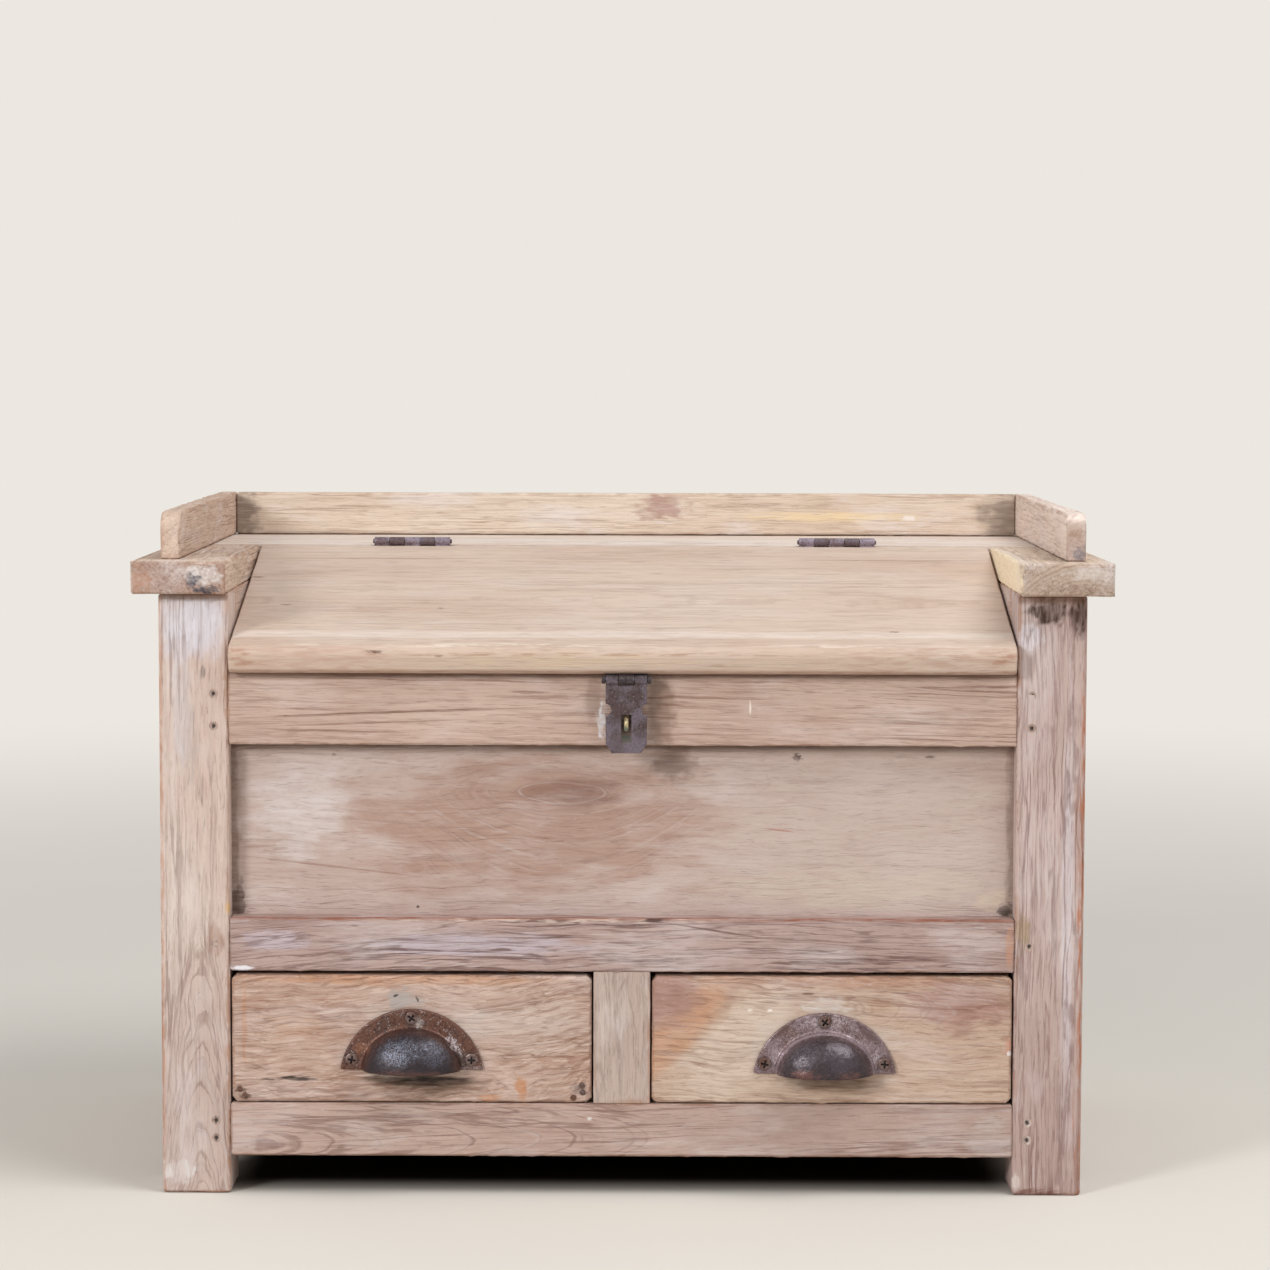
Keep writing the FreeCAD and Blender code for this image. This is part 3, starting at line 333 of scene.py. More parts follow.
def make_smudge_group():
    """A stain with a ragged outline and a broken film: 1 in its middle and 0 outside its reach."""
    tree, given, made = shader_group("smudge", {
        "Off": (0.0, 0.0, 0.0), "Grain": (0.0, 0.0, 0.0), "Ragged": 0.8, "Broken": 0.3},
        {"Mask": "Float"})
    scattered = vector(tree, "ADD", vector(tree, "MULTIPLY", given["Off"], (1.7, 1.7, 1.7)),
                       vector(tree, "MULTIPLY", given["Grain"], (14, 75, 75)))
    lobes = calc(tree, "SUBTRACT", noise(tree, scattered, (1, 1, 1), 5), 0.5)
    away = calc(tree, "ADD", length(tree, given["Off"]),
                calc(tree, "MULTIPLY", calc(tree, "MULTIPLY", lobes, 2.5), given["Ragged"]))
    bare = ramp(tree, noise(tree, given["Grain"], (70, 400, 400), 4), 0.62, 0.4)
    film = calc(tree, "SUBTRACT", 1.0, calc(tree, "MULTIPLY", bare, given["Broken"]))
    film = calc(tree, "MAXIMUM", film, 0.0)
    tree.links.new(calc(tree, "MULTIPLY", ramp(tree, away, 1.0, 0.4), film), made["Mask"])
    return tree


grain_group = make_grain_group()
arris_group = make_arris_group()
smudge_group = make_smudge_group()
GRAIN_TURNS = {"x": Matrix.Identity(3), "y": Matrix.Rotation(-math.pi / 2, 3, "Z"),
               "z": Matrix.Rotation(math.pi / 2, 3, "Y")}


def mark(middle, reach, tone, strength, ragged=0.6, broken=0.3, lean=0):
    """A stain, chip or scratch, with its middle and reach in millimetres and its lean in degrees."""
    return dict(middle=Vector(middle) * MM, reach=Vector(reach) * MM, tone=tone, strength=strength,
                ragged=ragged, broken=broken, lean=math.radians(lean))


def cover(tree, place, grain, spot):
    """How far a mark covers the surface. Its film is broken along the grain."""
    off = node(tree, "Mapping", {"Vector": place, "Location": spot["middle"], "Scale": spot["reach"],
                                 "Rotation": (0, spot["lean"], 0)}, vector_type="TEXTURE").outputs[0]
    inputs = {"Off": off, "Grain": grain, "Ragged": spot["ragged"], "Broken": spot["broken"]}
    mask = node(tree, "Group", inputs, node_tree=smudge_group).outputs["Mask"]
    return calc(tree, "MULTIPLY", mask, spot["strength"])


def stained(tree, place, grain, colour, marks):
    """Lay marks over a colour, in their order."""
    for spot in marks:
        colour = blend(tree, cover(tree, place, grain, spot), colour, spot["tone"])
    return colour


def new_material(name):
    """A material with nothing in it yet, and its node tree."""
    material = bpy.data.materials.new(name)
    material.use_nodes = True
    material.node_tree.nodes.clear()
    return material, material.node_tree


def wood(name, box, along, heart, tones, turn=(0, 0, 0), ring=3.0, bow=0.0, wander=4.0, swirl=0.0,
         ripple=2.2, contrast=0.6, ringing=0.6, fineness=8.0, edging=0.2, lining=0.55, strokes=0.12,
         ring_tone=None, figure=None, chalking=0.4, worn=0.5, worn_width=3.0,
         worn_tone=tint(168, 122, 92), tinted=(), marks=()):
    """Bleached wood whose grain runs along an axis, with the log's heart at a point in millimetres.

    Tinted places lie under the grain lines, marks lie over them, and a figure is where the rings show."""
    material, tree = new_material(name)
    place = node(tree, "TexCoord").outputs["Object"]
    lean = Matrix.Identity(3)
    for angle, axis in zip(turn, "XYZ"):
        lean = Matrix.Rotation(math.radians(angle), 3, axis) @ lean
    to_log = GRAIN_TURNS[along] @ lean
    log = node(tree, "Mapping", {"Vector": place, "Rotation": to_log.to_euler(),
                                 "Location": -(to_log @ (Vector(heart) * MM))}).outputs[0]
    pale, warm, line = tones
    pale, warm = stained(tree, place, log, pale, tinted), stained(tree, place, log, warm, tinted)
    if figure:
        shown = cover(tree, place, log, figure)
        ringing, edging = calc(tree, "MULTIPLY", shown, ringing), calc(tree, "MULTIPLY", shown, edging)
    grain = node(tree, "Group", {
        "Place": log, "Ring width": ring * MM, "Bow": bow, "Wander": wander * MM, "Swirl": swirl * MM,
        "Ripple": ripple * MM, "Contrast": contrast, "Ringing": ringing, "Fineness": fineness,
        "Edging": edging, "Lining": lining, "Strokes": strokes, "Chalking": chalking, "Pale": pale,
        "Warm": warm, "Line": line, "Ring": ring_tone or line}, node_tree=grain_group).outputs
    colour = grain["Colour"]
    if worn:
        low, high = box
        inputs = {"Place": place, "Low": low, "High": high, "Width": worn_width * MM}
        arris = node(tree, "Group", inputs, node_tree=arris_group).outputs["Mask"]
        colour = blend(tree, calc(tree, "MULTIPLY", arris, worn), colour, worn_tone)
    colour = stained(tree, place, log, colour, marks)
    bump = node(tree, "Bump", {"Height": grain["Height"], "Strength": 0.5, "Distance": 0.8 * MM}).outputs[0]
    surface = node(tree, "BsdfPrincipled", {"Base Color": colour, "Roughness": grain["Roughness"],
                                            "Specular IOR Level": 0.3, "Normal": bump})
    node(tree, "OutputMaterial", {"Surface": surface.outputs[0]})
    return material


arm_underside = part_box("left_arm")[0].z
# The brown stain colour serves for dirt at the feet and lower edges, and for painted shadow under the arms.
BROWN_STAIN_AND_SHADE, GREY_STAIN, DARK_STAIN = tint(112, 78, 58), tint(120, 108, 104), tint(52, 46, 46)
CHALK_STAIN, WORN_ORANGE = tint(228, 224, 230), tint(190, 128, 92)
ALL_ALONG = 900
post_looks = {
    "front_left_post": dict(
        heart=(-274, -134, 330), bow=-0.14, ring=2.4, ringing=0.85, edging=0.35, contrast=0.4, chalking=0.3,
        ripple=2.8, fineness=14.0, figure=mark((-275, -158, 70), (46, 12, 150), None, 1.0, 0.5, 0.1),
        tones=(tint(219, 204, 195), tint(200, 174, 161), tint(132, 103, 93)),
        tinted=(mark((-277, -150, 60), (60, 60, 120), tint(184, 159, 150), 0.6, 0.4, 0.1),
                mark((-277, -158, 374), (30, 12, 30), tint(214, 211, 220), 0.85, 0.4, 0.1),
                mark((-286, -158, 320), (9, 9, 46), tint(210, 204, 206), 0.6, 0.6, 0.2)),
        marks=(mark((-277, -158, 378), (22, 9, 14), CHALK_STAIN, 0.4, 0.8, 0.6),
               # Painted shadow under the arm's overhang.
               mark((-277, -158, 392), (60, 9, 5), BROWN_STAIN_AND_SHADE, 0.7, 0.3, 0.2),
               mark((-271, -158, 342), (2, 4, 6), GREY_STAIN, 0.8),
               mark((-280, -158, 300), (8, 5, 36), tint(176, 162, 158), 0.5, 0.8, 0.6),
               mark((-264, -158, 166), (7, 5, 14), tint(150, 112, 90), 0.55, 0.5),
               mark((-299.5, -156, 190), (3.4, 9, ALL_ALONG), WORN_ORANGE, 0.5, 0.9, 0.9),
               mark((-290, -158, 15), (12, 8, 11), tint(222, 216, 213), 0.85, 0.8, 0.6),
               mark((-256, -158, 188), (3, 8, 5), tint(214, 172, 104), 0.8),
               mark((-277, -150, 0), (60, 60, 2.5), BROWN_STAIN_AND_SHADE, 0.6, 0.4))),
    "front_right_post": dict(
        heart=(322, -100, 150), ring=2.6, wander=9.0, swirl=5.0, contrast=0.4, ringing=0.85, chalking=0.3,
        lining=0.8, fineness=12.0,
        tones=(tint(212, 193, 187), tint(188, 163, 156), tint(128, 98, 92)),
        tinted=(mark((277, -150, 50), (60, 60, 120), tint(174, 147, 139), 0.65, 0.4, 0.1),
                mark((262, -158, 366), (12, 9, 12), CHALK_STAIN, 0.75, 0.6, 0.1),
                mark((289, -158, 190), (5, 9, 190), tint(214, 206, 212), 0.6, 0.5, 0.3)),
        marks=(mark((274, -158, 382), (16, 9, 12), tint(58, 36, 24), 0.95, 0.8, 0.4),
               mark((295, -158, 381), (7.5, 9, 18), tint(64, 40, 28), 0.95, 0.6, 0.35),
               # Painted shadow under the arm's overhang.
               mark((277, -158, 392), (60, 9, 6), BROWN_STAIN_AND_SHADE, 0.7, 0.3, 0.2),
               mark((299.5, -155, 160), (5.5, 11, 260), tint(182, 114, 80), 0.85, 0.8, 0.9),
               mark((261, -158, 174), (6.5, 8, 13), tint(160, 136, 104), 0.75, 0.6, 0.3),
               mark((272, -150, 1), (40, 40, 4), tint(110, 62, 48), 0.75, 0.8),
               mark((257, -158, 8), (4, 8, 7), tint(222, 210, 202), 0.7))),
    "rear_left_post": dict(
        heart=(-330, 190, 100), ring=3.0, contrast=0.55, chalking=0.3,
        tones=(tint(206, 184, 172), tint(184, 156, 142), tint(134, 104, 92)),
        marks=(mark((-299, 171, 190), (5, 6, ALL_ALONG), WORN_ORANGE, 0.6, 0.6, 0.5),
               mark((-277, 150, 0), (60, 60, 3), BROWN_STAIN_AND_SHADE, 0.6, 0.5))),
    "rear_right_post": dict(
        heart=(262, 80, 100), ring=2.8, contrast=0.55, chalking=0.3,
        tones=(tint(204, 182, 170), tint(182, 154, 140), tint(130, 100, 88)),
        marks=(mark((299, 171, 190), (5, 6, ALL_ALONG), WORN_ORANGE, 0.6, 0.6, 0.5),
               mark((277, 150, 0), (60, 60, 3), BROWN_STAIN_AND_SHADE, 0.6, 0.5))),
}
post_rounds = {"front_left_post": (("-x-y", 3.6),), "front_right_post": (("+x-y", 4.4),),
               "rear_left_post": (("-x+y", 3.0),), "rear_right_post": (("+x+y", 3.0),)}
for post_name, looks in post_looks.items():
    post_low, post_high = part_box(post_name)
    post_high.z = arm_underside
    post = board(post_name + "_worn", post_low, post_high, ease=1.6, nicks=1.3,
                 rounds=post_rounds[post_name])
    if post_name.startswith("front"):
        cut_away(post, cad_copy("peg_holes", "joint_pegs"))
    smooth_faces(post)
    post_wood = wood(post_name + "_wood", (post_low, post_high), "z", worn=0.6, worn_width=3.0, **looks)
    fit(post, post_wood, "frame", "bleached_wood", post_name)

# Joint pegs
# Ten pegs of the posts' own wood, driven through the tenons of the front rails and cut flush.
# A nail has been pulled out of each, which leaves a small dark hole.
pegs = cad_copy("joint_pegs_driven", "joint_pegs")
peg_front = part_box("joint_pegs")[0].y
select_only(pegs)
bpy.ops.object.mode_set(mode="EDIT")
pick(pegs, "FACE", lambda face: all(abs(vert.co.y - peg_front) < 0.01 * MM for vert in face.verts))
peg_ends = [face.calc_center_median() / MM for face in bmesh.from_edit_mesh(pegs.data).faces if face.select]
bpy.ops.mesh.inset(thickness=1.8 * MM, depth=-0.5 * MM, use_individual=True)
bpy.ops.object.mode_set(mode="OBJECT")
smooth_faces(pegs)
peg_marks = [mark(end, (1.8, 4, 2.2), DARK_STAIN, 0.95, 0.45, 0.0) for end in peg_ends]
peg_wood = wood("peg_wood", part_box("joint_pegs"), "z", (0, -60, 200), worn=0, ring=1.4, contrast=0.6,
                chalking=0.3, tones=(tint(202, 180, 168), tint(180, 154, 142), tint(120, 92, 80)),
                marks=peg_marks)
fit(pegs, peg_wood, "frame", "bleached_wood", "joint_pegs")

# Front rails and drawer divider
# Three rails tenoned between the front posts, and a short upright that parts the two drawers.
# The lid rests over the top rail, whose upper edge is planed to the lid's slope.
rail_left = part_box("front_left_post")[1].x
rail_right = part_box("front_right_post")[0].x
LID_SLOPE = math.radians(15)
# GAP_SHADE paints the shade under the lid's nose onto the top rail's upper edge.
GAP_SHADE = tint(92, 64, 50)
rail_looks = {
    "front_top_rail": dict(
        heart=(-40, -96, 250), turn=(0, -1.2, 0), ring=1.5, contrast=0.36, lining=0.75, chalking=0.2,
        bow=0.05, tones=(tint(209, 184, 170), tint(186, 157, 142), tint(138, 104, 88)),
        marks=(mark((0, -158, 345), (ALL_ALONG, 12, 9), GAP_SHADE, 0.9, 0.15, 0.1),
               mark((-154, -158, 316), (112, 6, 1.1), tint(112, 78, 62), 0.75, 0.7, 0.4, lean=-2),
               mark((-170, -158, 309), (80, 6, 0.8), tint(124, 90, 74), 0.6, 0.7, 0.4, lean=-2),
               mark((82.5, -158, 319.5), (0.9, 4, 6), tint(236, 224, 210), 0.9, 0.4, 0.1),
               mark((-13.5, -158, 310), (3.4, 5, 13), tint(232, 228, 230), 0.9, 0.9, 0.5),
               # Right of the hasp, a stain with the hasp's shadow painted into it; then painted shade seen
               # through the strap's slot.
               mark((25, -158, 317), (12, 8, 32), tint(104, 76, 60), 0.55, 0.4, 0.1),
               mark((2.5, -158, 311), (8, 6, 13), tint(66, 54, 50), 0.95, 0.2, 0.1),
               mark((2.5, -158, 299.5), (6, 6, 3.4), tint(112, 134, 128), 0.8, 0.5, 0.2),
               # Painted shadow of the hasp on its left.
               mark((-19, -158, 326), (7, 8, 20), tint(120, 90, 72), 0.4, 0.4, 0.1))),
    "front_middle_rail": dict(
        heart=(120, -118, 120), ring=3.0, contrast=0.4, ringing=0.95, edging=0.3, lining=0.8,
        chalking=0.3, bow=0.12, swirl=5.0, ripple=2.6, fineness=12.0,
        tones=(tint(190, 166, 159), tint(166, 139, 130), tint(104, 76, 70)),
        tinted=(mark((-100, -158, 164), (90, 9, 11), tint(202, 194, 208), 0.6, 0.7, 0.3),
                mark((-225, -158, 167), (28, 9, 9), tint(204, 194, 208), 0.6, 0.7, 0.3)),
        marks=(mark((-247, -158, 148.5), (9, 6, 2.6), tint(238, 236, 242), 0.95, 0.5, 0.1),
               mark((0, -158, 182.5), (ALL_ALONG, 6, 2.8), tint(138, 80, 58), 0.9, 0.8, 0.6),
               mark((-60, -158, 180.5), (150, 6, 1.8), tint(216, 196, 184), 0.8, 0.9, 1.1),
               mark((-222, -158, 178.5), (36, 5, 2.6), tint(150, 122, 116), 0.6, 0.4, 0.2),
               mark((21, -158, 181), (10, 5, 2.2), tint(74, 52, 48), 0.9, 0.5, 0.1),
               mark((62, -158, 174), (46, 5, 0.9), tint(100, 72, 66), 0.75, 0.5, 0.2, lean=9),
               mark((120, -158, 168), (40, 5, 0.8), tint(110, 82, 74), 0.6, 0.6, 0.3, lean=3),
               mark((-120, -158, 147), (60, 5, 1.2), tint(60, 44, 40), 0.7, 0.8, 0.5),
               mark((252, -158, 164), (4, 6, 16), tint(196, 140, 108), 0.6, 0.6, 0.3))),
    "front_bottom_rail": dict(
        heart=(-330, -136, 30), turn=(0, 1.5, 0), ring=3.6, contrast=0.36, ringing=1.0, edging=0.25,
        lining=0.6, chalking=0.25, bow=0.16, swirl=4.0, ripple=1.8, fineness=18.0,
        figure=mark((-130, -158, 42), (190, 12, 70), None, 1.0, 0.5, 0.1),
        tones=(tint(205, 180, 168), tint(184, 157, 145), tint(122, 90, 80)),
        tinted=(mark((150, -158, 42), (190, 12, 50), tint(174, 149, 140), 0.7, 0.4, 0.1),),
        marks=(mark((240, -158, 36), (24, 6, 18), tint(204, 194, 190), 0.5, 0.8, 0.5),
               mark((-21, -158, 50), (2, 5, 1.6), tint(228, 222, 218), 0.9, 0.6, 0.2),
               mark((0, -158, 25), (ALL_ALONG, 8, 2.2), BROWN_STAIN_AND_SHADE, 0.6, 0.6, 0.5))),
}
LEAF_ROOM = Vector((0.4, 0.5, 0)) * MM
OPEN_ABOVE = Vector((0, 0, 5)) * MM
for rail_name, looks in rail_looks.items():
    rail_low, rail_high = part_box(rail_name)
    rail_low.x, rail_high.x = rail_left, rail_right
    slides = ()
    if rail_name == "front_top_rail":
        slides = (("-y+z", (0, 0, -math.tan(LID_SLOPE) * (rail_high.y - rail_low.y))),)
    rail = board(rail_name + "_worn", rail_low, rail_high, ease=1.0, slides=slides, nicks=1.3)
    if rail_name == "front_top_rail":
        leaf_low, leaf_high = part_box("hasp_leaf")
        cut_seat(rail, (leaf_low.x - LEAF_ROOM.x, rail_low.y - MM, leaf_low.z),
                 leaf_high + LEAF_ROOM + OPEN_ABOVE)
    smooth_faces(rail)
    rail_wood = wood(rail_name + "_wood", (rail_low, rail_high), "x", worn=0.55, worn_width=1.8,
                     worn_tone=tint(146, 102, 78), **looks)
    fit(rail, rail_wood, "frame", "bleached_wood", rail_name)


def wooden_piece(node_name, looks, body="frame", slot="bleached_wood", box=None, **shape):
    """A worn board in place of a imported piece, in that piece's box unless another is given."""
    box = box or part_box(node_name)
    piece = board(node_name + "_worn", *box, **shape)
    smooth_faces(piece)
    fit(piece, wood(node_name + "_wood", box, **looks), body, slot, node_name)


divider_low, divider_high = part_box("drawer_divider")
divider_low.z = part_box("front_bottom_rail")[1].z
divider_high.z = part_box("front_middle_rail")[0].z
divider_looks = dict(along="z", heart=(40, -40, 100), ring=2.2,
                     tones=(tint(198, 180, 169), tint(180, 158, 147), tint(130, 110, 102)))
wooden_piece("drawer_divider", divider_looks, box=(divider_low, divider_high), ease=0.8, nicks=0.6)

# Front panel
# One thin flat-sawn board held in grooves between the top and middle rails. The log's side shows
# as a flame of rings left of the middle, and the bleach has left the right half pale.
# Dirt along the panel's ends, with the shade of the posts painted in.
MARGIN_DIRT_AND_SHADE = tint(112, 90, 78)
panel_looks = dict(
    along="x", heart=(-36, -139, 262), ring=6.5, bow=4.2, wander=14.0, swirl=11.0, ripple=3.6, contrast=0.32,
    ringing=0.5, edging=0.34, lining=0.2, chalking=0.2, worn=0,
    figure=mark((-48, -143, 240), (125, 12, 66), None, 1.0, 0.5, 0.5),
    tones=(tint(205, 187, 179), tint(185, 160, 150), tint(136, 105, 94)), ring_tone=tint(152, 116, 101),
    tinted=(mark((-58, -143, 246), (150, 12, 60), tint(172, 138, 121), 0.8, 0.7, 0.15),
            mark((-33, -143, 263), (46, 12, 12), tint(138, 102, 88), 0.7, 0.4, 0.15),
            mark((-212, -143, 249), (40, 12, 36), tint(214, 203, 199), 0.7, 0.7, 0.2)),
    marks=(mark((168, -143, 240), (150, 9, 90), tint(202, 185, 175), 0.6, 0.6, 0.5),
           mark((150, -143, 200), (110, 9, 16), tint(208, 194, 176), 0.5, 0.6, 0.4),
           mark((-212, -143, 255), (26, 9, 22), tint(218, 209, 208), 0.3, 0.9, 0.8),
           mark((-185, -143, 213), (68, 6, 0.9), tint(140, 104, 90), 0.6, 0.5, 0.3, lean=6.5),
           # A stain below the hasp, with the hasp's shadow painted into it.
           mark((33, -143, 282), (19, 9, 16), tint(108, 84, 70), 0.6, 0.5, 0.2),
           mark((113.6, -143, 286), (4, 6, 3.4), tint(80, 64, 56), 0.9, 1.0, 0.4),
           mark((200, -143, 286.5), (4.5, 6, 1.3), tint(110, 90, 80), 0.8, 0.6),
           mark((-188, -143, 287), (2, 6, 1.4), tint(110, 90, 80), 0.7),
           mark((-133.5, -143, 187), (1.3, 4, 1.2), DARK_STAIN, 0.85, 0.3, 0.0),
           mark((103, -143, 238), (13, 5, 0.7), tint(170, 110, 90), 0.7, 0.3, 0.2, lean=7),
           # Painted shadow of the top rail along the panel's top; dirt with the posts' painted shade along
           # its ends.
           mark((0, -143, 297), (ALL_ALONG, 12, 9), tint(88, 66, 54), 0.85, 0.2, 0.1),
           mark((-256, -143, 238), (8, 9, ALL_ALONG), MARGIN_DIRT_AND_SHADE, 0.7, 0.4, 0.2),
           mark((256, -143, 238), (7, 9, ALL_ALONG), MARGIN_DIRT_AND_SHADE, 0.65, 0.4, 0.2),
           mark((242, -143, 192), (13, 9, 8), tint(222, 206, 178), 0.6, 0.8, 0.5),
           # Darker patches in the panel's lower corners.
           mark((251, -143, 186), (6, 9, 6), tint(66, 54, 48), 0.85, 0.7),
           mark((-251, -143, 190), (6, 9, 16), tint(78, 60, 50), 0.75, 0.8)))
wooden_piece("front_panel", panel_looks, ease=0.6, nicks=0.1)

# Sides
# Each side is a wide panel in grooves between an upper and a lower rail, tenoned into the posts.
side_tones = (tint(204, 180, 166), tint(182, 152, 136), tint(138, 104, 90))
side_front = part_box("front_left_post")[1].y
side_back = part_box("rear_left_post")[0].y
for side, heart_x in (("left", -230), ("right", 236)):
    for part, heart_z, ring in (("side_top_rail", 320, 2.6), ("side_bottom_rail", 70, 3.2)):
        side_name = f"{side}_{part}"
        side_low, side_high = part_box(side_name)
        side_low.y, side_high.y = side_front, side_back
        side_looks = dict(along="y", heart=(heart_x, 40, heart_z), tones=side_tones, ring=ring)
        wooden_piece(side_name, side_looks, box=(side_low, side_high), ease=1.0)
    side_looks = dict(along="z", heart=(heart_x, 20, 150), ring=2.8, bow=0.3, wander=7.0, contrast=0.45,
                      tones=(tint(206, 184, 170), tint(184, 156, 141), tint(142, 110, 96)), worn=0)
    wooden_piece(side + "_side_panel", side_looks, ease=0.6, nicks=0.1)

# Back
# Two rails between the rear posts hold a pair of thin plain boards, of paler and rougher wood.
back_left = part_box("rear_left_post")[1].x
back_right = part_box("rear_right_post")[0].x
for back_name, heart_x, heart_z in (("back_top_rail", 60, 330), ("back_bottom_rail", -140, 84)):
    back_low, back_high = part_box(back_name)
    back_low.x, back_high.x = back_left, back_right
    back_looks = dict(along="x", heart=(heart_x, 90, heart_z), tones=side_tones, ring=3.0, chalking=0.3)
    wooden_piece(back_name, back_looks, box=(back_low, back_high), ease=1.0)
rough_tones = (tint(198, 172, 148), tint(172, 140, 114), tint(120, 88, 66))
for back_name, back_heart in (("back_upper_board", (-90, 110, 300)), ("back_lower_board", (170, 84, 96))):
    back_looks = dict(along="x", heart=back_heart, tones=rough_tones, ring=3.4, bow=0.2, wander=8.0,
                      chalking=0.2)
    wooden_piece(back_name, back_looks, slot="inside_wood", ease=0.8, nicks=0.6)

# Inside
# A floor for the well on two bearers, runners for the drawers and a guide between them,
# all of plain wood that was never bleached.


def heart_near(box, offset):
    """The heart of a piece's log, so many millimetres from the piece's lowest corner."""
    return (box[0] + Vector(offset) * MM) / MM


def finish_node(node_name, material):
    """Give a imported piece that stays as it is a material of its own."""
    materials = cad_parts[node_name].data.materials
    materials.clear()
    materials.append(material)


for inside_name, along in (("chest_floor", "x"), ("left_floor_bearer", "y"), ("right_floor_bearer", "y"),
                           ("left_drawer_runner", "y"), ("right_drawer_runner", "y"),
                           ("centre_drawer_runner", "y"), ("drawer_guide", "y")):
    inside_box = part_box(inside_name)
    inside_wood = wood(inside_name + "_wood", inside_box, along, heart_near(inside_box, (20, 30, -60)),
                       rough_tones, ring=3.0, worn=0.3)
    finish_node(inside_name, inside_wood)

# Top board and arms
# A flat board is fixed behind the lid, and two arms run forward from it beside the lid and over
# the front posts. Their front ends show end grain.
top_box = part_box("top_board")
top = board("top_board_worn", *top_box, ease=1.4, rounds=(("-x+y", 2.5), ("+x+y", 2.5)))
HINGE_SEAT = Vector((0.2, 0.1, 0.2)) * MM
LEAF_THICKNESS = 1.6 * MM
lid_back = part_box("lid")[1].y
hinge_seats = []
for side in ("left", "right"):
    hinge_low, hinge_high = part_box(side + "_hinge_frame_leaf")
    hinge_low.y, hinge_high.y = lid_back - LEAF_THICKNESS, top_box[0].y + LEAF_THICKNESS
    hinge_seats.append((hinge_low - HINGE_SEAT, hinge_high + HINGE_SEAT))
    cut_seat(top, *hinge_seats[-1])
smooth_faces(top)
top_wood = wood("top_board_wood", top_box, "x", (80, 60, 330), ring=2.4, contrast=0.4, chalking=0.3,
                worn=0.25, tones=(tint(236, 223, 212), tint(222, 203, 189), tint(174, 150, 136)),
                marks=(mark((0, 167, 414), (ALL_ALONG, 2.4, 4), tint(110, 88, 74), 0.7, 0.3, 0.2),
                       mark((0, 33, 414), (ALL_ALONG, 2.2, 4), tint(150, 124, 106), 0.5, 0.4, 0.4)))
fit(top, top_wood, "frame", "bleached_wood", "top_board")

arm_looks = {
    "left_arm": dict(
        heart=(-330, -60, 374), ring=2.2, contrast=0.7, chalking=0.35,
        tones=(tint(222, 202, 184), tint(200, 172, 150), tint(130, 94, 76)),
        tinted=(mark((-285, -171, 404), (ALL_ALONG, 4, ALL_ALONG), tint(160, 130, 120), 0.75, 0.2, 0.1),),
        marks=(mark((-271, -170, 406), (15, 7, 9), tint(222, 214, 210), 0.85, 0.8, 0.5),
               mark((-276, -170, 402), (6.5, 6, 6.5), tint(66, 68, 80), 0.9, 1.0, 0.4),
               mark((-268, -170, 396), (9, 6, 4), tint(54, 56, 68), 0.9, 0.9, 0.3),
               mark((-309, -170, 401), (8, 6, 10), tint(186, 122, 84), 0.4, 0.9, 0.6),
               mark((-285, -160, 414), (30, 12, 3), tint(228, 212, 198), 0.5, 0.8, 0.6))),
    "right_arm": dict(
        heart=(300, -60, 352), ring=2.0, contrast=0.6, chalking=0.5,
        tones=(tint(224, 206, 188), tint(204, 180, 156), tint(132, 104, 88)),
        tinted=(mark((285, -171, 404), (ALL_ALONG, 4, ALL_ALONG), tint(174, 150, 134), 0.7, 0.2, 0.1),),
        marks=(mark((255, -120, 399), (4, 5, 3.5), tint(186, 122, 74), 0.8, 0.4, 0.2),
               # Painted light: the inner face is lifted towards cream where the lamps leave it in shade.
               mark((255, -60, 404), (4, 160, 26), tint(250, 231, 200), 0.95, 0.3, 0.2),
               mark((300, -170, 408), (18, 6, 6), tint(220, 210, 204), 0.6, 0.8, 0.5),
               mark((288, -170, 397), (26, 6, 4), tint(132, 104, 90), 0.55, 0.8, 0.6))),
}
arm_rounds = {"left_arm": (("-x-y", 2.6), ("-x+z", 2.0)),
              "right_arm": (("+x-y", 4.5), ("+x+z", 3.6), ("+x-z", 3.0))}
for arm_name, looks in arm_looks.items():
    arm_low, arm_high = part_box(arm_name)
    arm_high.y = top_box[0].y
    wooden_piece(arm_name, dict(looks, along="y", worn=0.55), box=(arm_low, arm_high), ease=1.6, nicks=1.3,
                 rounds=arm_rounds[arm_name])

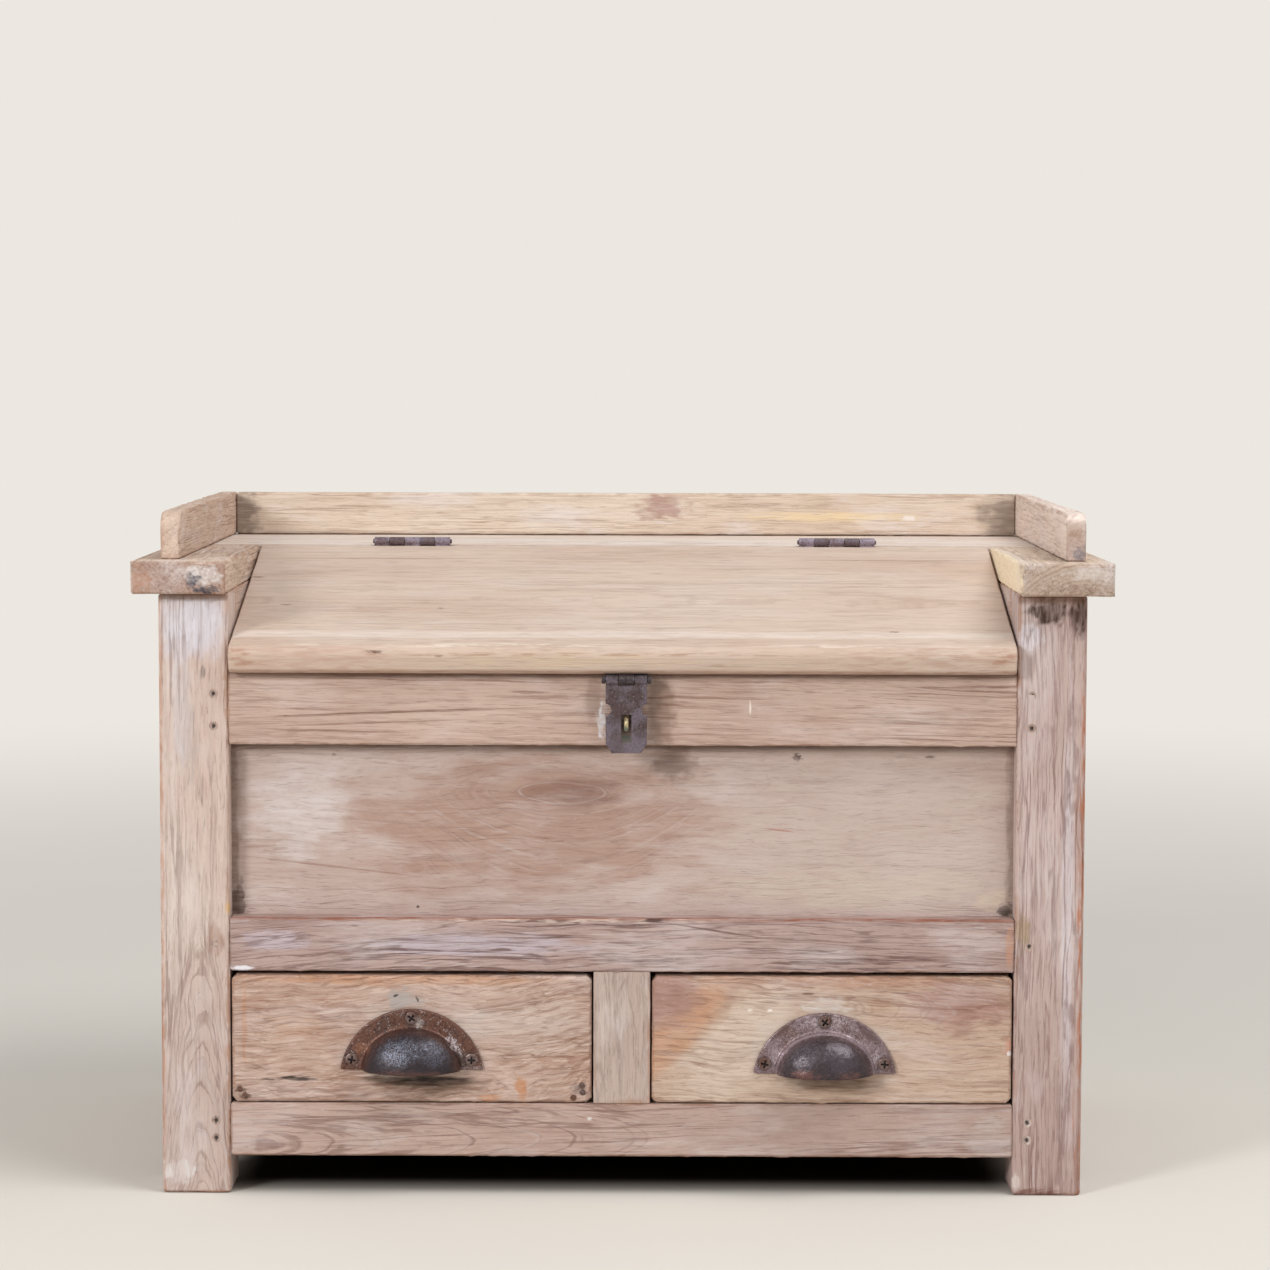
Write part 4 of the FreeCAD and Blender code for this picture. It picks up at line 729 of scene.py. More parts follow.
# Gallery
# Three low boards stand on edge round the back and sides of the top. The side ones end in
# corners that are rounded and chipped by use.
CORNER_DARK_TONE = tint(116, 101, 92)
gallery_looks = {
    "back_gallery": dict(
        along="x", heart=(-30, 196, 380), ring=2.8, contrast=0.35, chalking=0.5, worn=0.35,
        tones=(tint(228, 213, 196), tint(210, 188, 167), tint(164, 138, 118)),
        marks=(mark((27, 167, 435), (22, 9, 13), tint(172, 136, 124), 0.8, 0.8, 0.3),
               # Both ends of the back gallery are darker in the inner corners.
               mark((-284, 167, 428), (18, 9, 26), CORNER_DARK_TONE, 0.75, 0.6, 0.2),
               mark((283, 167, 426), (30, 9, 28), tint(100, 86, 78), 0.72, 0.5, 0.2),
               mark((150, 167, 428), (85, 9, 5), tint(240, 216, 168), 0.6, 0.6, 0.4),
               mark((208, 167, 427), (7, 8, 2.4), tint(240, 236, 234), 0.85, 0.7, 0.2),
               mark((0, 167, 413), (ALL_ALONG, 9, 3), tint(92, 72, 60), 0.8, 0.3, 0.2))),
    "left_gallery": dict(
        along="y", heart=(-262, 20, 396), ring=2.4, contrast=0.55, chalking=0.3, worn=0.6,
        tones=(tint(214, 190, 172), tint(192, 162, 142), tint(142, 108, 90)),
        marks=(mark((-293, -144, 422), (8, 5, 10), tint(226, 204, 184), 0.6, 0.8, 0.5),
               mark((-287, 20, 413), (4, ALL_ALONG, 3), tint(104, 80, 66), 0.7, 0.3, 0.2))),
    "right_gallery": dict(
        along="y", heart=(330, 20, 400), ring=2.4, contrast=0.55, chalking=0.4, worn=0.6,
        tones=(tint(242, 226, 214), tint(224, 202, 188), tint(164, 138, 126)),
        tinted=(mark((293, -145, 430), (ALL_ALONG, 4, ALL_ALONG), tint(172, 146, 132), 0.75, 0.2, 0.1),),
        marks=(mark((296, -144, 419), (6, 8, 6), tint(112, 112, 124), 0.75, 0.8, 0.4),
               mark((293, -144, 432), (7, 6, 4), tint(150, 112, 88), 0.5, 0.8, 0.5),
               mark((287, 20, 413), (4, ALL_ALONG, 3), tint(104, 80, 66), 0.7, 0.3, 0.2))),
}
gallery_rounds = {"back_gallery": (), "left_gallery": (("-y+z", 12.5),),
                  "right_gallery": (("-y+z", 10.5), ("+x+z", 3.0))}
for gallery_name, looks in gallery_looks.items():
    wooden_piece(gallery_name, dict(looks, worn_width=2.5), ease=1.3, nicks=1.2,
                 rounds=gallery_rounds[gallery_name])

# Lid
# One broad sloping board on two butt hinges. Its back edge is cut plumb, its front edge is
# rounded over, and its top has been scrubbed almost smooth.
lid_low, lid_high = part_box("lid")
LID_LENGTH, LID_THICKNESS = 211 * MM, 19 * MM
flat_low = Vector((lid_low.x, -LID_LENGTH, -LID_THICKNESS))
flat_high = Vector((lid_high.x, 0, 0))
lid = board("lid_worn", flat_low, flat_high, ease=1.2, nicks=0.7,
            slides=(("+y-z", (0, -LID_THICKNESS * math.tan(LID_SLOPE), 0)),),
            rounds=(("-y+z", 8), ("-y-z", 5)))
lid.rotation_euler.x = LID_SLOPE
lid.location = (0, lid_high.y, lid_high.z)
select_only(lid)
bpy.ops.object.transform_apply(location=True, rotation=True, scale=True)
for hinge_seat in hinge_seats:
    cut_seat(lid, *hinge_seat)
smooth_faces(lid)
NOSE_TONE = tint(206, 183, 166)
lid_wood = wood(
    "lid_wood", (lid_low, lid_high), "x", (60, -60, 300), turn=(-15, 0, 0), ring=2.6, wander=6.0,
    contrast=0.16, ringing=0.35, lining=0.22, chalking=0.12, strokes=0.08, worn=0,
    tones=(tint(212, 193, 178), tint(201, 176, 158), tint(142, 114, 98)),
    marks=(mark((-170, 2.6, 406.3), (110, 1.5, 4), tint(146, 120, 102), 0.6, 0.2, 0.4),
           mark((185, 1, 406), (90, 1.5, 4), tint(146, 120, 102), 0.6, 0.2, 0.4),
           # A painted sheen along the lid's front, just behind the nose.
           mark((0, -148, 366), (ALL_ALONG, 10, 6), tint(230, 217, 207), 0.6, 0.4, 0.4),
           mark((-249, -37, 395.7), (6, 1.4, 4), tint(100, 78, 64), 0.85, 0.5, 0.1),
           mark((-224, -92, 381), (5, 1.8, 4), tint(126, 102, 90), 0.75, 0.8, 0.3),
           mark((-121, -98, 379.5), (3, 3, 3), tint(132, 108, 98), 0.7, 0.9, 0.5),
           mark((176, -141, 368), (6, 1.8, 4), tint(140, 112, 100), 0.75, 0.8, 0.3),
           mark((0, -171, 351), (ALL_ALONG, 7.5, 13), NOSE_TONE, 0.65, 0.2, 0.3),
           mark((-205, -170, 352), (90, 8, 14), tint(188, 152, 136), 0.5, 0.4, 1.0),
           mark((200, -170, 352), (100, 8, 14), tint(182, 148, 132), 0.55, 0.4, 1.0),
           mark((-40, -170, 351), (90, 8, 6), tint(214, 190, 158), 0.5, 0.8, 0.8),
           # Pale flecks along the nose's upper edge, which also paint a highlight on that edge.
           mark((-90, -167, 361), (160, 5, 2.0), tint(234, 220, 204), 0.55, 0.9, 1.2),
           mark((150, -167, 361), (110, 5, 2.0), tint(232, 216, 202), 0.5, 0.9, 1.2),
           mark((-20, -170, 355), (200, 6, 1.4), tint(164, 128, 106), 0.6, 0.9, 1.1),
           mark((-245, -170, 351), (9, 8, 9), tint(164, 116, 88), 0.5, 0.9, 1.0),
           mark((245, -170, 351), (9, 8, 9), tint(164, 116, 90), 0.5, 0.9, 1.0),
           mark((-159, -171, 356.5), (7, 5, 1.5), tint(96, 68, 52), 0.85, 0.9, 0.3),
           mark((-118, -171, 354), (4, 5, 1.2), tint(110, 82, 64), 0.7, 0.8, 0.3),
           mark((60, -171, 348), (8, 5, 1.2), tint(140, 104, 82), 0.6, 0.8, 0.3),
           mark((0, -168, 342.5), (ALL_ALONG, 9, 3.4), tint(150, 112, 90), 0.6, 0.3, 0.3)))
fit(lid, lid_wood, "lid", "bleached_wood", "lid")

# Hinges
# Two steel butt hinges let into the edges of the lid and the top board, with five knuckles each
# on a wire pin. The metal has gone a dull purple-grey with rust in its pores.


def eased_copy(name, node_name, ease):
    """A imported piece's own shape with its sharp edges taken off."""
    piece = cad_copy(name, node_name)
    select_only(piece)
    bpy.ops.object.mode_set(mode="EDIT")
    pick(piece, "EDGE", lambda edge: edge.is_manifold and edge.calc_face_angle(0) > math.radians(35))
    bpy.ops.mesh.bevel(offset=ease * MM, segments=2, affect="EDGES")
    bpy.ops.object.mode_set(mode="OBJECT")
    smooth_faces(piece)
    return piece


def make_rust_group():
    """Old iron: a clean colour, with rust in patches and pale specks where it is scuffed."""
    tree, given, made = shader_group("old_iron", {
        "Place": (0.0, 0.0, 0.0), "Rusting": 0.5, "Scuffing": 0.5, "Metal": tint(96, 88, 96),
        "Rust": tint(112, 74, 58), "Scuff": tint(178, 170, 170)},
        {"Colour": "Color", "Height": "Float", "Roughness": "Float"})
    blotch = noise(tree, given["Place"], (90, 90, 90), 6)
    push = calc(tree, "MULTIPLY", calc(tree, "SUBTRACT", given["Rusting"], 0.5), 0.5)
    rust = ramp(tree, calc(tree, "ADD", blotch, push), 0.4, 0.62)
    pit = noise(tree, given["Place"], (700, 700, 700), 3)
    speck = calc(tree, "MULTIPLY", ramp(tree, noise(tree, given["Place"], (800, 800, 800), 2), 0.62, 0.72),
                 given["Scuffing"])
    colour = blend(tree, rust, given["Metal"], given["Rust"])
    dark = vector(tree, "MULTIPLY", colour, (0.45, 0.42, 0.45))
    colour = blend(tree, ramp(tree, pit, 0.52, 0.3), colour, dark)
    colour = blend(tree, speck, colour, given["Scuff"])
    tree.links.new(colour, made["Colour"])
    tree.links.new(calc(tree, "ADD", pit, calc(tree, "MULTIPLY", rust, 0.4)), made["Height"])
    tree.links.new(ramp(tree, rust, 0.0, 1.0, 0.36, 0.62), made["Roughness"])
    return tree


rust_group = make_rust_group()


def iron(name, metal, rust, rusting, scuffing, metallic, polish=1.0, marks=()):
    """Old iron or steel, with stains that are placed as on wood."""
    material, tree = new_material(name)
    place = node(tree, "TexCoord").outputs["Object"]
    old = node(tree, "Group", {"Place": place, "Rusting": rusting, "Scuffing": scuffing, "Metal": metal,
                               "Rust": rust}, node_tree=rust_group).outputs
    film = vector(tree, "MULTIPLY", place, (18, 3.2, 3.2))
    colour = stained(tree, place, film, old["Colour"], marks)
    bump = node(tree, "Bump", {"Height": old["Height"], "Strength": 0.5, "Distance": 0.3 * MM}).outputs[0]
    surface = node(tree, "BsdfPrincipled", {"Base Color": colour, "Metallic": metallic, "Normal": bump,
                                            "Roughness": calc(tree, "DIVIDE", old["Roughness"], polish)})
    node(tree, "OutputMaterial", {"Surface": surface.outputs[0]})
    return material


def iron_piece(node_name, ease, material, body, slot="dull_steel"):
    """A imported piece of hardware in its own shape, its edges eased by so many millimetres."""
    fit(eased_copy(node_name + "_eased", node_name, ease), material, body, slot, node_name)


lid_steel = iron("lid_leaf_steel", tint(144, 132, 146), tint(112, 95, 100), 0.4, 0.4, 0.35)
frame_steel = iron("frame_leaf_steel", tint(106, 94, 103), tint(98, 80, 82), 0.55, 0.3, 0.35)
for side in ("left", "right"):
    iron_piece(side + "_hinge_lid_leaf", 0.3, lid_steel, "lid")
    iron_piece(side + "_hinge_frame_leaf", 0.3, frame_steel, "frame")
iron_piece("hinge_pins", 0.3, frame_steel, "frame")
iron_piece("hinge_frame_screws", 0.2, frame_steel, "frame")
iron_piece("hinge_lid_screws", 0.2, lid_steel, "lid")

# Hasp and staple
# A stamped steel strap hangs from a knuckle under the lid's nose and drops over a brass wire
# staple in the top rail.
# On the strap, a painted sheen lightens its lower end, and painted shade darkens its knuckle under the lid's
# nose.
hasp_steel = iron("hasp_steel", tint(108, 97, 106), tint(82, 66, 66), 0.5, 0.5, 0.4,
                  marks=(mark((2.5, -168.5, 298), (18, 5, 13), tint(124, 112, 124), 0.4, 0.5, 0.4),
                         mark((2.5, -168, 342), (20, 8, 6.5), tint(40, 32, 36), 0.9, 0.3, 0.2)))
# Darker iron for the hasp's leaf, pin and screws, as painted shade where they sit under the lid's nose.
knuckle_steel_in_shade = iron("hasp_knuckle_steel_in_shade", tint(64, 55, 58), tint(58, 44, 40), 0.5, 0.3, 0.35)
iron_piece("hasp_leaf", 0.3, knuckle_steel_in_shade, "lid")
iron_piece("hasp_leaf_screws", 0.2, knuckle_steel_in_shade, "lid")
iron_piece("hasp_pin", 0.4, knuckle_steel_in_shade, "lid")
iron_piece("hasp_strap", 0.4, hasp_steel, "hasp")
staple_brass = iron("staple_brass", tint(198, 182, 142), tint(112, 96, 70), 0.45, 0.5, 0.55,
                    marks=(mark((2.5, -168, 305), (4, 6, 5), tint(104, 132, 126), 0.85, 0.4, 0.2),))
iron_piece("staple", 0.1, staple_brass, "frame", "brass")

# Drawers
# Two shallow boxes with thick fronts of yellower wood. The sides and backs are thin plain boards,
# nailed to the fronts, and the bottoms slide into grooves.
PLASTER = tint(208, 196, 186)
drawer_looks = {
    "left": dict(
        heart=(-250, -70, 40), turn=(0, 4, 0), ring=2.2, wander=9.0, swirl=18.0, ripple=3.2,
        strokes=0.75, contrast=0.45, chalking=0.2,
        tones=(tint(214, 191, 178), tint(178, 143, 125), tint(126, 86, 66)),
        tinted=(mark((-150, -158, 142), (130, 9, 6), tint(198, 142, 100), 0.6, 0.7, 0.3),
                mark((-246, -158, 112), (2.6, 9, 32), tint(200, 142, 104), 0.55, 0.6, 0.3),
                mark((-60, -158, 112), (52, 9, 26), tint(206, 189, 176), 0.6, 0.6, 0.2),
                mark((-215, -158, 112), (40, 9, 14), tint(190, 152, 126), 0.5, 0.7, 0.2)),
        marks=(mark((-137, -158, 99), (64, 9, 37), tint(204, 192, 184), 0.75, 0.4, 0.45),
               mark((-143, -158, 128), (14, 8, 8), tint(172, 164, 160), 0.9, 0.7, 0.2),
               mark((-147, -158, 131), (2.6, 5, 1.1), DARK_STAIN, 0.85, 0.5, 0.0, lean=-20),
               mark((-133, -158, 128.5), (1.1, 5, 3), tint(84, 74, 70), 0.8, 0.5, 0.0, lean=-25),
               mark((-213, -158, 76.3), (16, 6, 2.4), tint(46, 38, 34), 0.95, 0.7, 0.2),
               mark((-231, -158, 75.6), (7, 6, 1.2), tint(88, 72, 60), 0.8, 0.7, 0.3),
               mark((-238, -158, 84), (14, 6, 2.6), tint(112, 86, 70), 0.7, 1.0, 0.6),
               # Under the cup, some soot with the cup's shadow painted in, darkest right below its lip.
               mark((-128, -158, 72), (48, 9, 12), tint(108, 80, 61), 0.8, 0.6, 0.4),
               mark((-131, -158, 75), (44, 8, 5), tint(62, 46, 38), 0.8, 0.5, 0.3),
               mark((-127, -158, 76), (26, 6, 2.6), tint(40, 34, 32), 0.9, 0.9, 0.4),
               mark((-65, -158, 70), (4.5, 7, 12), tint(192, 128, 80), 0.7, 0.7, 0.3, lean=-14),
               mark((-85, -158, 63.5), (9, 7, 3), tint(196, 134, 88), 0.6, 0.7, 0.4),
               mark((-249, -158, 69), (5, 7, 3.6), tint(92, 64, 50), 0.7, 1.0, 0.4),
               mark((-245.5, -158, 64.6), (4.6, 7, 3.4), tint(92, 64, 50), 0.7, 1.0, 0.4),
               mark((-27, -158, 69), (6, 7, 6), tint(116, 100, 98), 0.6, 1.0, 0.6))),
    "right": dict(
        heart=(38, -130, 128), turn=(0, -3, 0), ring=2.6, wander=6.0, swirl=12.0, ripple=3.2,
        strokes=0.55, contrast=0.45, chalking=0.2, bow=0.25, ringing=0.38,
        tones=(tint(210, 187, 168), tint(185, 153, 133), tint(130, 91, 72)),
        tinted=(mark((70, -158, 84), (44, 9, 30), tint(208, 188, 168), 0.9, 0.4, 0.2),
                mark((140, -158, 142), (120, 9, 7), tint(188, 142, 120), 0.55, 0.7, 0.3),
                mark((38, -158, 110), (18, 9, 60), tint(200, 154, 122), 0.9, 0.2, 0.1, lean=40),
                mark((26, -158, 130), (34, 9, 26), tint(175, 140, 130), 1.0, 0.3, 0.1),
                mark((76, -158, 98), (26, 9, 60), tint(213, 193, 176), 1.8, 0.15, 0.1, lean=40),
                mark((220, -158, 126), (48, 9, 22), tint(174, 138, 128), 0.95, 0.6, 0.2)),
        marks=(mark((132, -158, 97), (60, 9, 35), PLASTER, 0.6, 0.4, 0.35),
               mark((134, -158, 125), (17, 8, 8), tint(214, 206, 200), 0.75, 0.9, 0.5),
               mark((121, -158, 133), (5.5, 6, 1.2), tint(124, 98, 86), 0.85, 0.2, 0.0),
               mark((83.5, -158, 122), (2.2, 5, 1.4), tint(238, 228, 216), 0.9, 0.6, 0.2),
               mark((96.5, -158, 122), (2, 5, 1.4), tint(240, 232, 222), 0.9, 0.6, 0.2),
               # Painted shadow under the cup.
               mark((140, -158, 72), (46, 9, 9), tint(148, 118, 92), 0.5, 0.6, 0.4),
               mark((134, -158, 73.5), (38, 8, 5), tint(90, 66, 50), 0.65, 0.5, 0.3),
               mark((252.5, -158, 99), (3.5, 7, 8), tint(204, 148, 126), 0.75, 0.8, 0.4),
               mark((252.5, -158, 94), (2.4, 7, 2), tint(240, 236, 234), 0.9, 0.5, 0.2))),
}
box_tones = (tint(204, 176, 148), tint(178, 146, 116), tint(126, 92, 68))
FRONT_CORNER = 4
for side, looks in drawer_looks.items():
    body = "drawer_" + side
    front_looks = dict(looks, along="x", worn=0.4, worn_width=2.4, worn_tone=tint(158, 112, 82))
    wooden_piece(f"{side}_drawer_front", front_looks, body, "drawer_wood", ease=2.2, nicks=1.2,
                 rounds=[(corner, FRONT_CORNER) for corner in ("-x-z", "+x-z", "-x+z", "+x+z")])
    for part, along, heart_y in (("left_side", "y", 60), ("right_side", "y", 150), ("back", "x", 40)):
        part_name = f"{side}_drawer_{part}"
        part_heart = heart_near(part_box(part_name), (-40, heart_y, 20))
        part_looks = dict(along=along, heart=part_heart, tones=box_tones, ring=2.8)
        wooden_piece(part_name, part_looks, body, "drawer_wood", ease=0.8, nicks=0.5)
    bottom_name = f"{side}_drawer_bottom"
    bottom_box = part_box(bottom_name)
    bottom_wood = wood(bottom_name + "_wood", bottom_box, "x", heart_near(bottom_box, (60, 90, -50)),
                       rough_tones, ring=3.2, bow=0.3, worn=0)
    finish_node(bottom_name, bottom_wood)

left_front_low, left_front_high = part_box("left_drawer_front")
NAIL_RADIUS, NAIL_LENGTH, NAIL_PROUD = 2.0 * MM, 6 * MM, 0.5 * MM
nails_from_left = ((5, 8.5), (8.5, 4))
nails_from_right = ((6.5, 11.5), (6, 7), (12, 3.5))
nail_spots = [(left_front_low.x + off * MM, left_front_low.z + up * MM) for off, up in nails_from_left]
nail_spots += [(left_front_high.x - off * MM, left_front_low.z + up * MM) for off, up in nails_from_right]
loose_nails = []
for nail_x, nail_z in nail_spots:
    bpy.ops.object.select_all(action="DESELECT")
    bpy.ops.mesh.primitive_cylinder_add(
        vertices=14, radius=NAIL_RADIUS, depth=NAIL_LENGTH, rotation=(math.pi / 2, 0, 0),
        location=(nail_x, left_front_low.y + NAIL_LENGTH / 2 - NAIL_PROUD, nail_z))
    nail = bpy.context.object
    bpy.ops.object.transform_apply(location=True, rotation=True, scale=True)
    bpy.ops.object.mode_set(mode="EDIT")
    pick(nail, "FACE", lambda face: face.normal.y < -0.9)
    bpy.ops.mesh.inset(thickness=0.5 * MM, depth=0.3 * MM)
    bpy.ops.transform.resize(value=(0.8, 1, 1.1))
    bpy.ops.object.mode_set(mode="OBJECT")
    loose_nails.append(nail)
bpy.ops.object.select_all(action="DESELECT")
for nail in loose_nails:
    nail.select_set(True)
bpy.context.view_layer.objects.active = loose_nails[0]
bpy.ops.object.join()
nails = bpy.context.object
nails.name = nails.data.name = "left_drawer_nails"
smooth_faces(nails)
nail_iron = iron("nail_iron", tint(98, 80, 74), tint(104, 70, 54), 0.6, 0.6, 0.3)
fit(nails, nail_iron, "drawer_left", "rusted_iron")

# Cup pulls
# Each drawer has a cast iron cup pull with a half-round flange, held by three cross-headed screws.
# The flanges are rusty brown, and the cups are worn to a dark blue-black.
pull_looks = {
    "left": dict(
        metal=tint(86, 66, 62), rust=tint(104, 70, 58), rusting=0.7,
        marks=(mark((-137, -180, 92), (80, 21, 56), tint(36, 34, 42), 0.95, 0.1, 0.1),
               mark((-137, -164, 92), (80, 2.6, 56), tint(66, 46, 42), 0.7, 0.2, 0.4),
               # Paler worn patches on the cup, placed where they paint its highlight.
               mark((-146, -180, 99), (21, 14, 13), tint(132, 138, 156), 0.7, 0.4, 1.1),
               mark((-120, -178, 97), (16, 14, 12), tint(112, 116, 132), 0.55, 0.4, 1.1),
               mark((-137, -181, 82.6), (40, 10, 4), tint(96, 66, 60), 0.75, 0.5, 0.3),
               mark((-169, -162, 97), (7, 6, 5), tint(158, 108, 84), 0.6, 0.9, 0.7),
               mark((-109, -164, 100), (3.4, 9, 12), tint(214, 208, 214), 0.85, 1.0, 0.9, lean=-34),
               mark((-132, -162, 114), (4, 6, 5), tint(196, 184, 180), 0.7, 0.9, 0.6),
               mark((-97, -161, 84), (9, 5, 2), tint(190, 176, 178), 0.5, 0.9, 0.8))),
    "right": dict(
        metal=tint(137, 117, 124), rust=tint(112, 88, 88), rusting=0.5,
        marks=(mark((132, -180, 90), (80, 20, 56), tint(44, 37, 42), 0.95, 0.1, 0.1),
               # A painted highlight on the fillet round the cup's foot.
               mark((132, -164, 90), (80, 2.8, 56), tint(200, 184, 190), 0.75, 0.2, 0.7),
               # Paler worn patches on the cup, placed where they paint its highlight.
               mark((116, -178, 98), (18, 14, 13), tint(116, 110, 120), 0.6, 0.5, 1.1),
               mark((143, -178, 94), (16, 14, 14), tint(98, 90, 102), 0.5, 0.5, 1.0),
               mark((116, -181, 83), (16, 8, 5), tint(128, 86, 76), 0.6, 0.8, 0.4),
               mark((152, -181, 83), (14, 8, 4), tint(120, 84, 76), 0.6, 0.8, 0.4),
               mark((158, -172, 92), (5, 10, 12), tint(66, 54, 58), 0.7, 0.6, 0.3),
               mark((110, -163, 108), (10, 6, 5), tint(112, 88, 84), 0.7, 0.8, 0.5),
               mark((132, -162, 115), (22, 5, 6), tint(196, 182, 188), 0.75, 0.8, 0.8),
               mark((132, -161, 96), (60, 3, 34), tint(186, 170, 174), 0.45, 0.3, 1.4),
               mark((104, -161, 110), (14, 4, 4.5), tint(84, 58, 50), 0.75, 0.6, 0.4, lean=-42),
               mark((160, -161, 108), (15, 4, 4.5), tint(84, 58, 50), 0.75, 0.6, 0.4, lean=46),
               mark((99, -163, 93), (4, 7, 9), tint(176, 160, 168), 0.6, 0.6, 0.7, lean=30),
               mark((166, -163, 92), (4, 6, 6), tint(198, 186, 194), 0.7, 0.9, 0.6))),
}
SCREW_RADIUS, HEAD_CROWN = 4.25 * MM, 0.8 * MM
SLOT_LENGTH, SLOT_WIDTH, SLOT_DEPTH = 5.2 * MM, 1.3 * MM, 1.3 * MM
SLOT_TURNS = (35, 12, 4)


def around_screws(spots, y, reach, tone, strength, ragged, broken):
    """A like mark at each screw of a pull, at a depth in millimetres."""
    return [mark((x / MM, y, z / MM), reach, tone, strength, ragged, broken) for x, z in spots]


for side, looks in pull_looks.items():
    body = "drawer_" + side
    pull_marks = looks.pop("marks")
    pull = cad_copy(f"{side}_drawer_pull_cast", f"{side}_drawer_pull")
    apply_modifier(pull, "REMESH", mode="VOXEL", voxel_size=0.7 * MM)
    apply_modifier(pull, "SMOOTH", factor=0.5, iterations=8)
    casting = bpy.data.textures.new("casting", "CLOUDS")
    casting.noise_scale = 4 * MM
    casting.noise_depth = 3
    apply_modifier(pull, "DISPLACE", texture=casting, texture_coords="LOCAL", strength=0.5 * MM,
                   mid_level=0.4)
    select_only(pull)
    bpy.ops.object.shade_smooth()
    screws = cad_copy(f"{side}_drawer_pull_screws_eased", f"{side}_drawer_pull_screws")
    screws_low, screws_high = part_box(f"{side}_drawer_pull_screws")
    top_screw = ((screws_low.x + screws_high.x) / 2, screws_high.z - SCREW_RADIUS)
    outer_x = (screws_low.x + SCREW_RADIUS, screws_high.x - SCREW_RADIUS)
    screw_spots = (top_screw, *((x, screws_low.z + SCREW_RADIUS) for x in outer_x))
    head_y = screws_low.y / MM
    # A painted shade ring on the flange round each screw head.
    screw_ring_shade = around_screws(screw_spots, head_y, (6.6, 3, 6.6), tint(46, 34, 32), 0.8, 0.3, 0.3)
    pull_iron = iron(f"{side}_pull_iron", scuffing=0.7, metallic=0.45, polish=1.35,
                     marks=(*pull_marks, *screw_ring_shade), **looks)
    fit(pull, pull_iron, body, "rusted_iron", f"{side}_drawer_pull")
    select_only(screws)
    bpy.ops.object.mode_set(mode="EDIT")
    pick(screws, "FACE", in_sides(screws_low, screws_high, "-y"))
    bpy.ops.mesh.inset(thickness=HEAD_CROWN * 1.5, depth=HEAD_CROWN, use_individual=True)
    bpy.ops.object.mode_set(mode="OBJECT")
    for (screw_x, screw_z), slot_turn in zip(screw_spots, SLOT_TURNS):
        for quarter in (0, 90):
            bpy.ops.object.select_all(action="DESELECT")
            bpy.ops.mesh.primitive_cube_add(
                size=1, location=(screw_x, screws_low.y, screw_z),
                scale=(SLOT_LENGTH, 2 * SLOT_DEPTH, SLOT_WIDTH),
                rotation=(0, math.radians(slot_turn + quarter), 0))
            cut_away(screws, bpy.context.object)
    smooth_faces(screws)
    # Near-black paint deep in each screw's cross slot.
    slot_darkening = around_screws(screw_spots, head_y + 1.4, (6, 1.6, 6), tint(30, 24, 24), 0.9, 0.1, 0.0)
    screw_iron = iron(f"{side}_screw_iron", tint(118, 98, 94), tint(98, 70, 60), 0.5, 0.5, 0.4,
                      marks=slot_darkening)
    fit(screws, screw_iron, body, "rusted_iron", f"{side}_drawer_pull_screws")

# Studio
# A plain pale floor that runs out into a pale surround, with a shadow painted on the floor under the chest,
# a key lamp at the front left, a broader fill lamp above on the right, and a camera that looks down a little
# on the chest's top.
SURROUND = tint(236, 232, 225)
scene = bpy.context.scene
scene.view_settings.view_transform = "Standard"


def seen_directly(tree):
    """1 for what the camera sees, also in metal and through glass, and 0 for light that is on its way."""
    path = node(tree, "LightPath").outputs
    return calc(tree, "MAXIMUM", path["Is Camera Ray"],
                calc(tree, "MAXIMUM", path["Is Glossy Ray"], path["Is Transmission Ray"]))


scene.world = bpy.data.worlds.new("surround")
scene.world.use_nodes = True
sky = scene.world.node_tree
sky.nodes.clear()
sky_light = node(sky, "Background", {"Color": (1.0, 1.0, 1.0, 1.0), "Strength": 0.5})
sky_shown = node(sky, "Background", {"Color": SURROUND, "Strength": 1.0})
sky_mix = node(sky, "MixShader", {0: seen_directly(sky), 1: sky_light.outputs[0], 2: sky_shown.outputs[0]})
node(sky, "OutputWorld", {"Surface": sky_mix.outputs[0]})

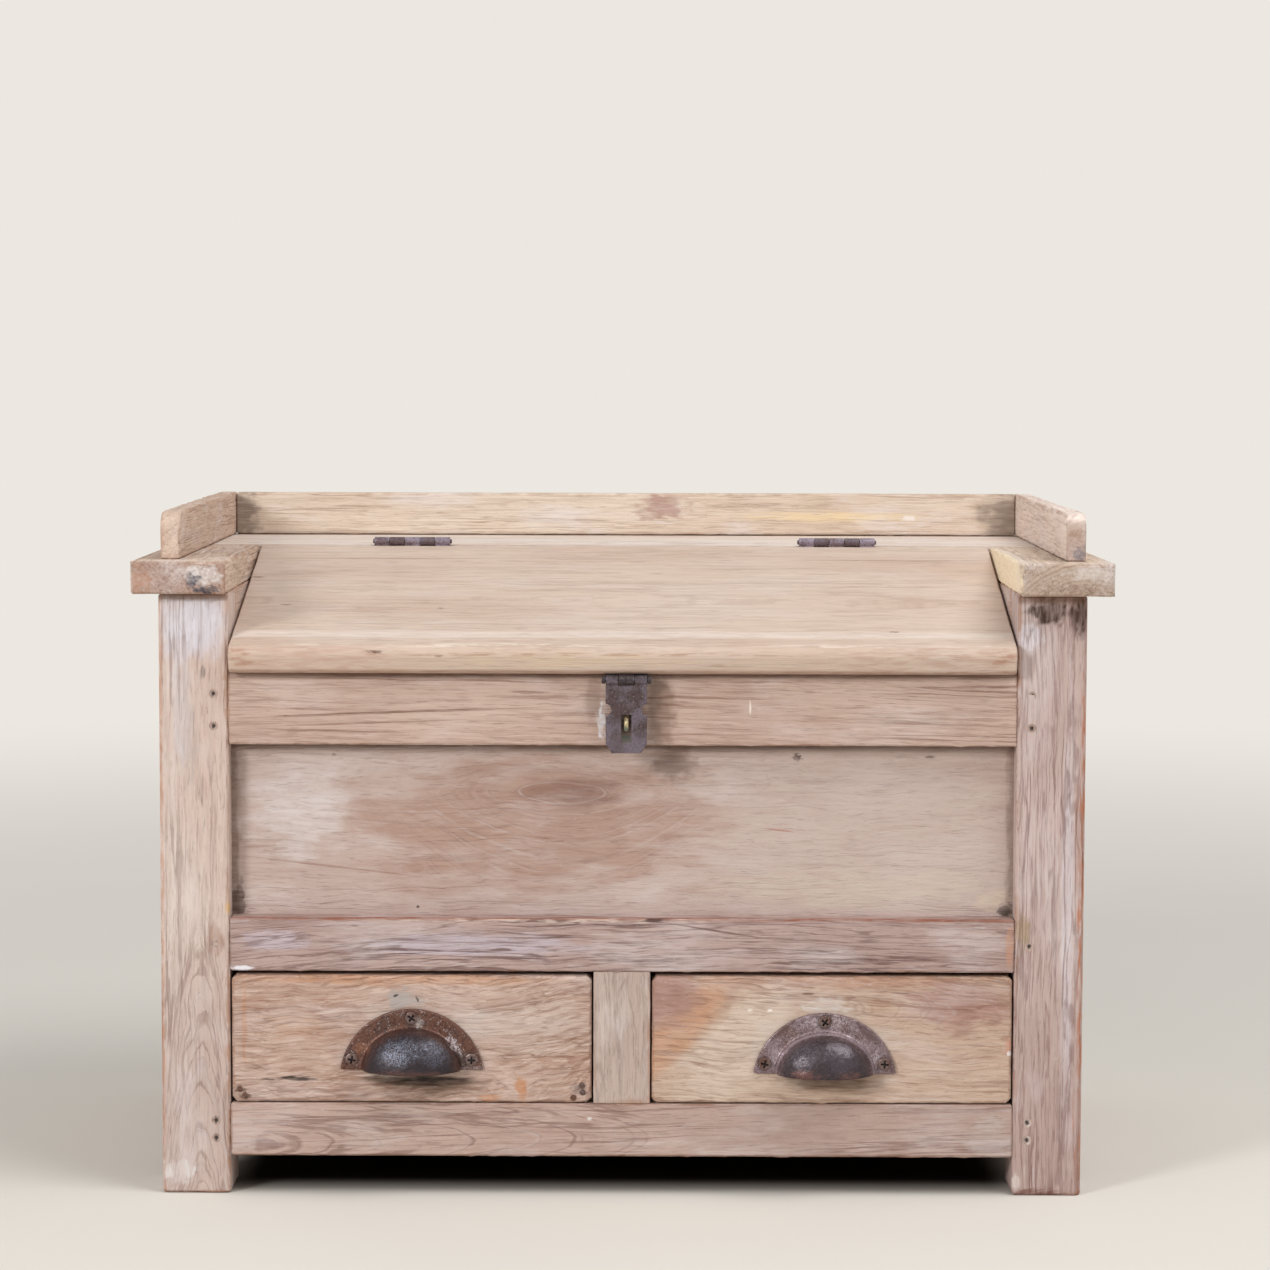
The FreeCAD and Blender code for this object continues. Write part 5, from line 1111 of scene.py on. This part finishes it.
bpy.ops.object.select_all(action="DESELECT")
bpy.ops.mesh.primitive_circle_add(vertices=128, radius=14, fill_type="NGON", location=(0, 0, 0))
floor = bpy.context.object
floor.name = "studio_floor"
SHADE_X, SHADE_Y = (0.29, 0.24), (0.17, 0.11)
floor_paint, paint = new_material("floor_paint")
floor_place = node(paint, "TexCoord").outputs["Object"]
far_off = calc(paint, "MULTIPLY", ramp(paint, length(paint, floor_place), 0.5, 3.0), seen_directly(paint))
pale_floor = blend(paint, noise(paint, floor_place, (3, 3, 3), 3), tint(222, 217, 209), tint(228, 224, 216))
from_side = vector(paint, "ABSOLUTE", floor_place, (0, 0, 0))
side_x, side_y, _ = node(paint, "SeparateXYZ", {0: from_side}).outputs
# A painted shadow darkens the floor under the chest, inside the SHADE_X and SHADE_Y bounds.
painted_floor_shadow = calc(paint, "MULTIPLY", ramp(paint, side_x, *SHADE_X), ramp(paint, side_y, *SHADE_Y))
matt = node(paint, "BsdfDiffuse", {"Color": blend(paint, painted_floor_shadow, pale_floor, tint(40, 34, 30))})
glow = node(paint, "Emission", {"Color": SURROUND, "Strength": 1.0})
floor_mix = node(paint, "MixShader", {0: far_off, 1: matt.outputs[0], 2: glow.outputs[0]})
node(paint, "OutputMaterial", {"Surface": floor_mix.outputs[0]})
floor.data.materials.append(floor_paint)

LAMP_TARGET = Vector((0, 0, 0.25))
for lamp_name, lamp_place, lamp_size, lamp_power in (("key_lamp", (-2.0, -2.4, 1.45), 0.8, 48),
                                                     ("fill_lamp", (1.2, -0.8, 2.3), 1.6, 32)):
    lamp = bpy.data.objects.new(lamp_name, bpy.data.lights.new(lamp_name, "AREA"))
    bpy.context.collection.objects.link(lamp)
    lamp.data.shape = "DISK"
    lamp.data.size = lamp_size
    lamp.data.energy = lamp_power
    lamp.location = lamp_place
    lamp.rotation_euler = (LAMP_TARGET - lamp.location).to_track_quat("-Z", "Y").to_euler()

camera = bpy.data.objects.new("camera", bpy.data.cameras.new("camera"))
bpy.context.collection.objects.link(camera)
camera.data.sensor_width = 36
camera.data.lens = 99.2
CAMERA_PLACE = (0.013, -2.408, 0.549)
pitch, yaw, roll = math.radians(4.63), math.radians(0.13), math.radians(-0.16)
camera.matrix_world = (
    Matrix.Translation(CAMERA_PLACE) @ Matrix.Rotation(yaw, 4, "Z") @ Matrix.Rotation(-pitch, 4, "X")
    @ Matrix.Rotation(roll, 4, "Y") @ Matrix.Rotation(math.pi / 2, 4, "X"))
scene.camera = camera
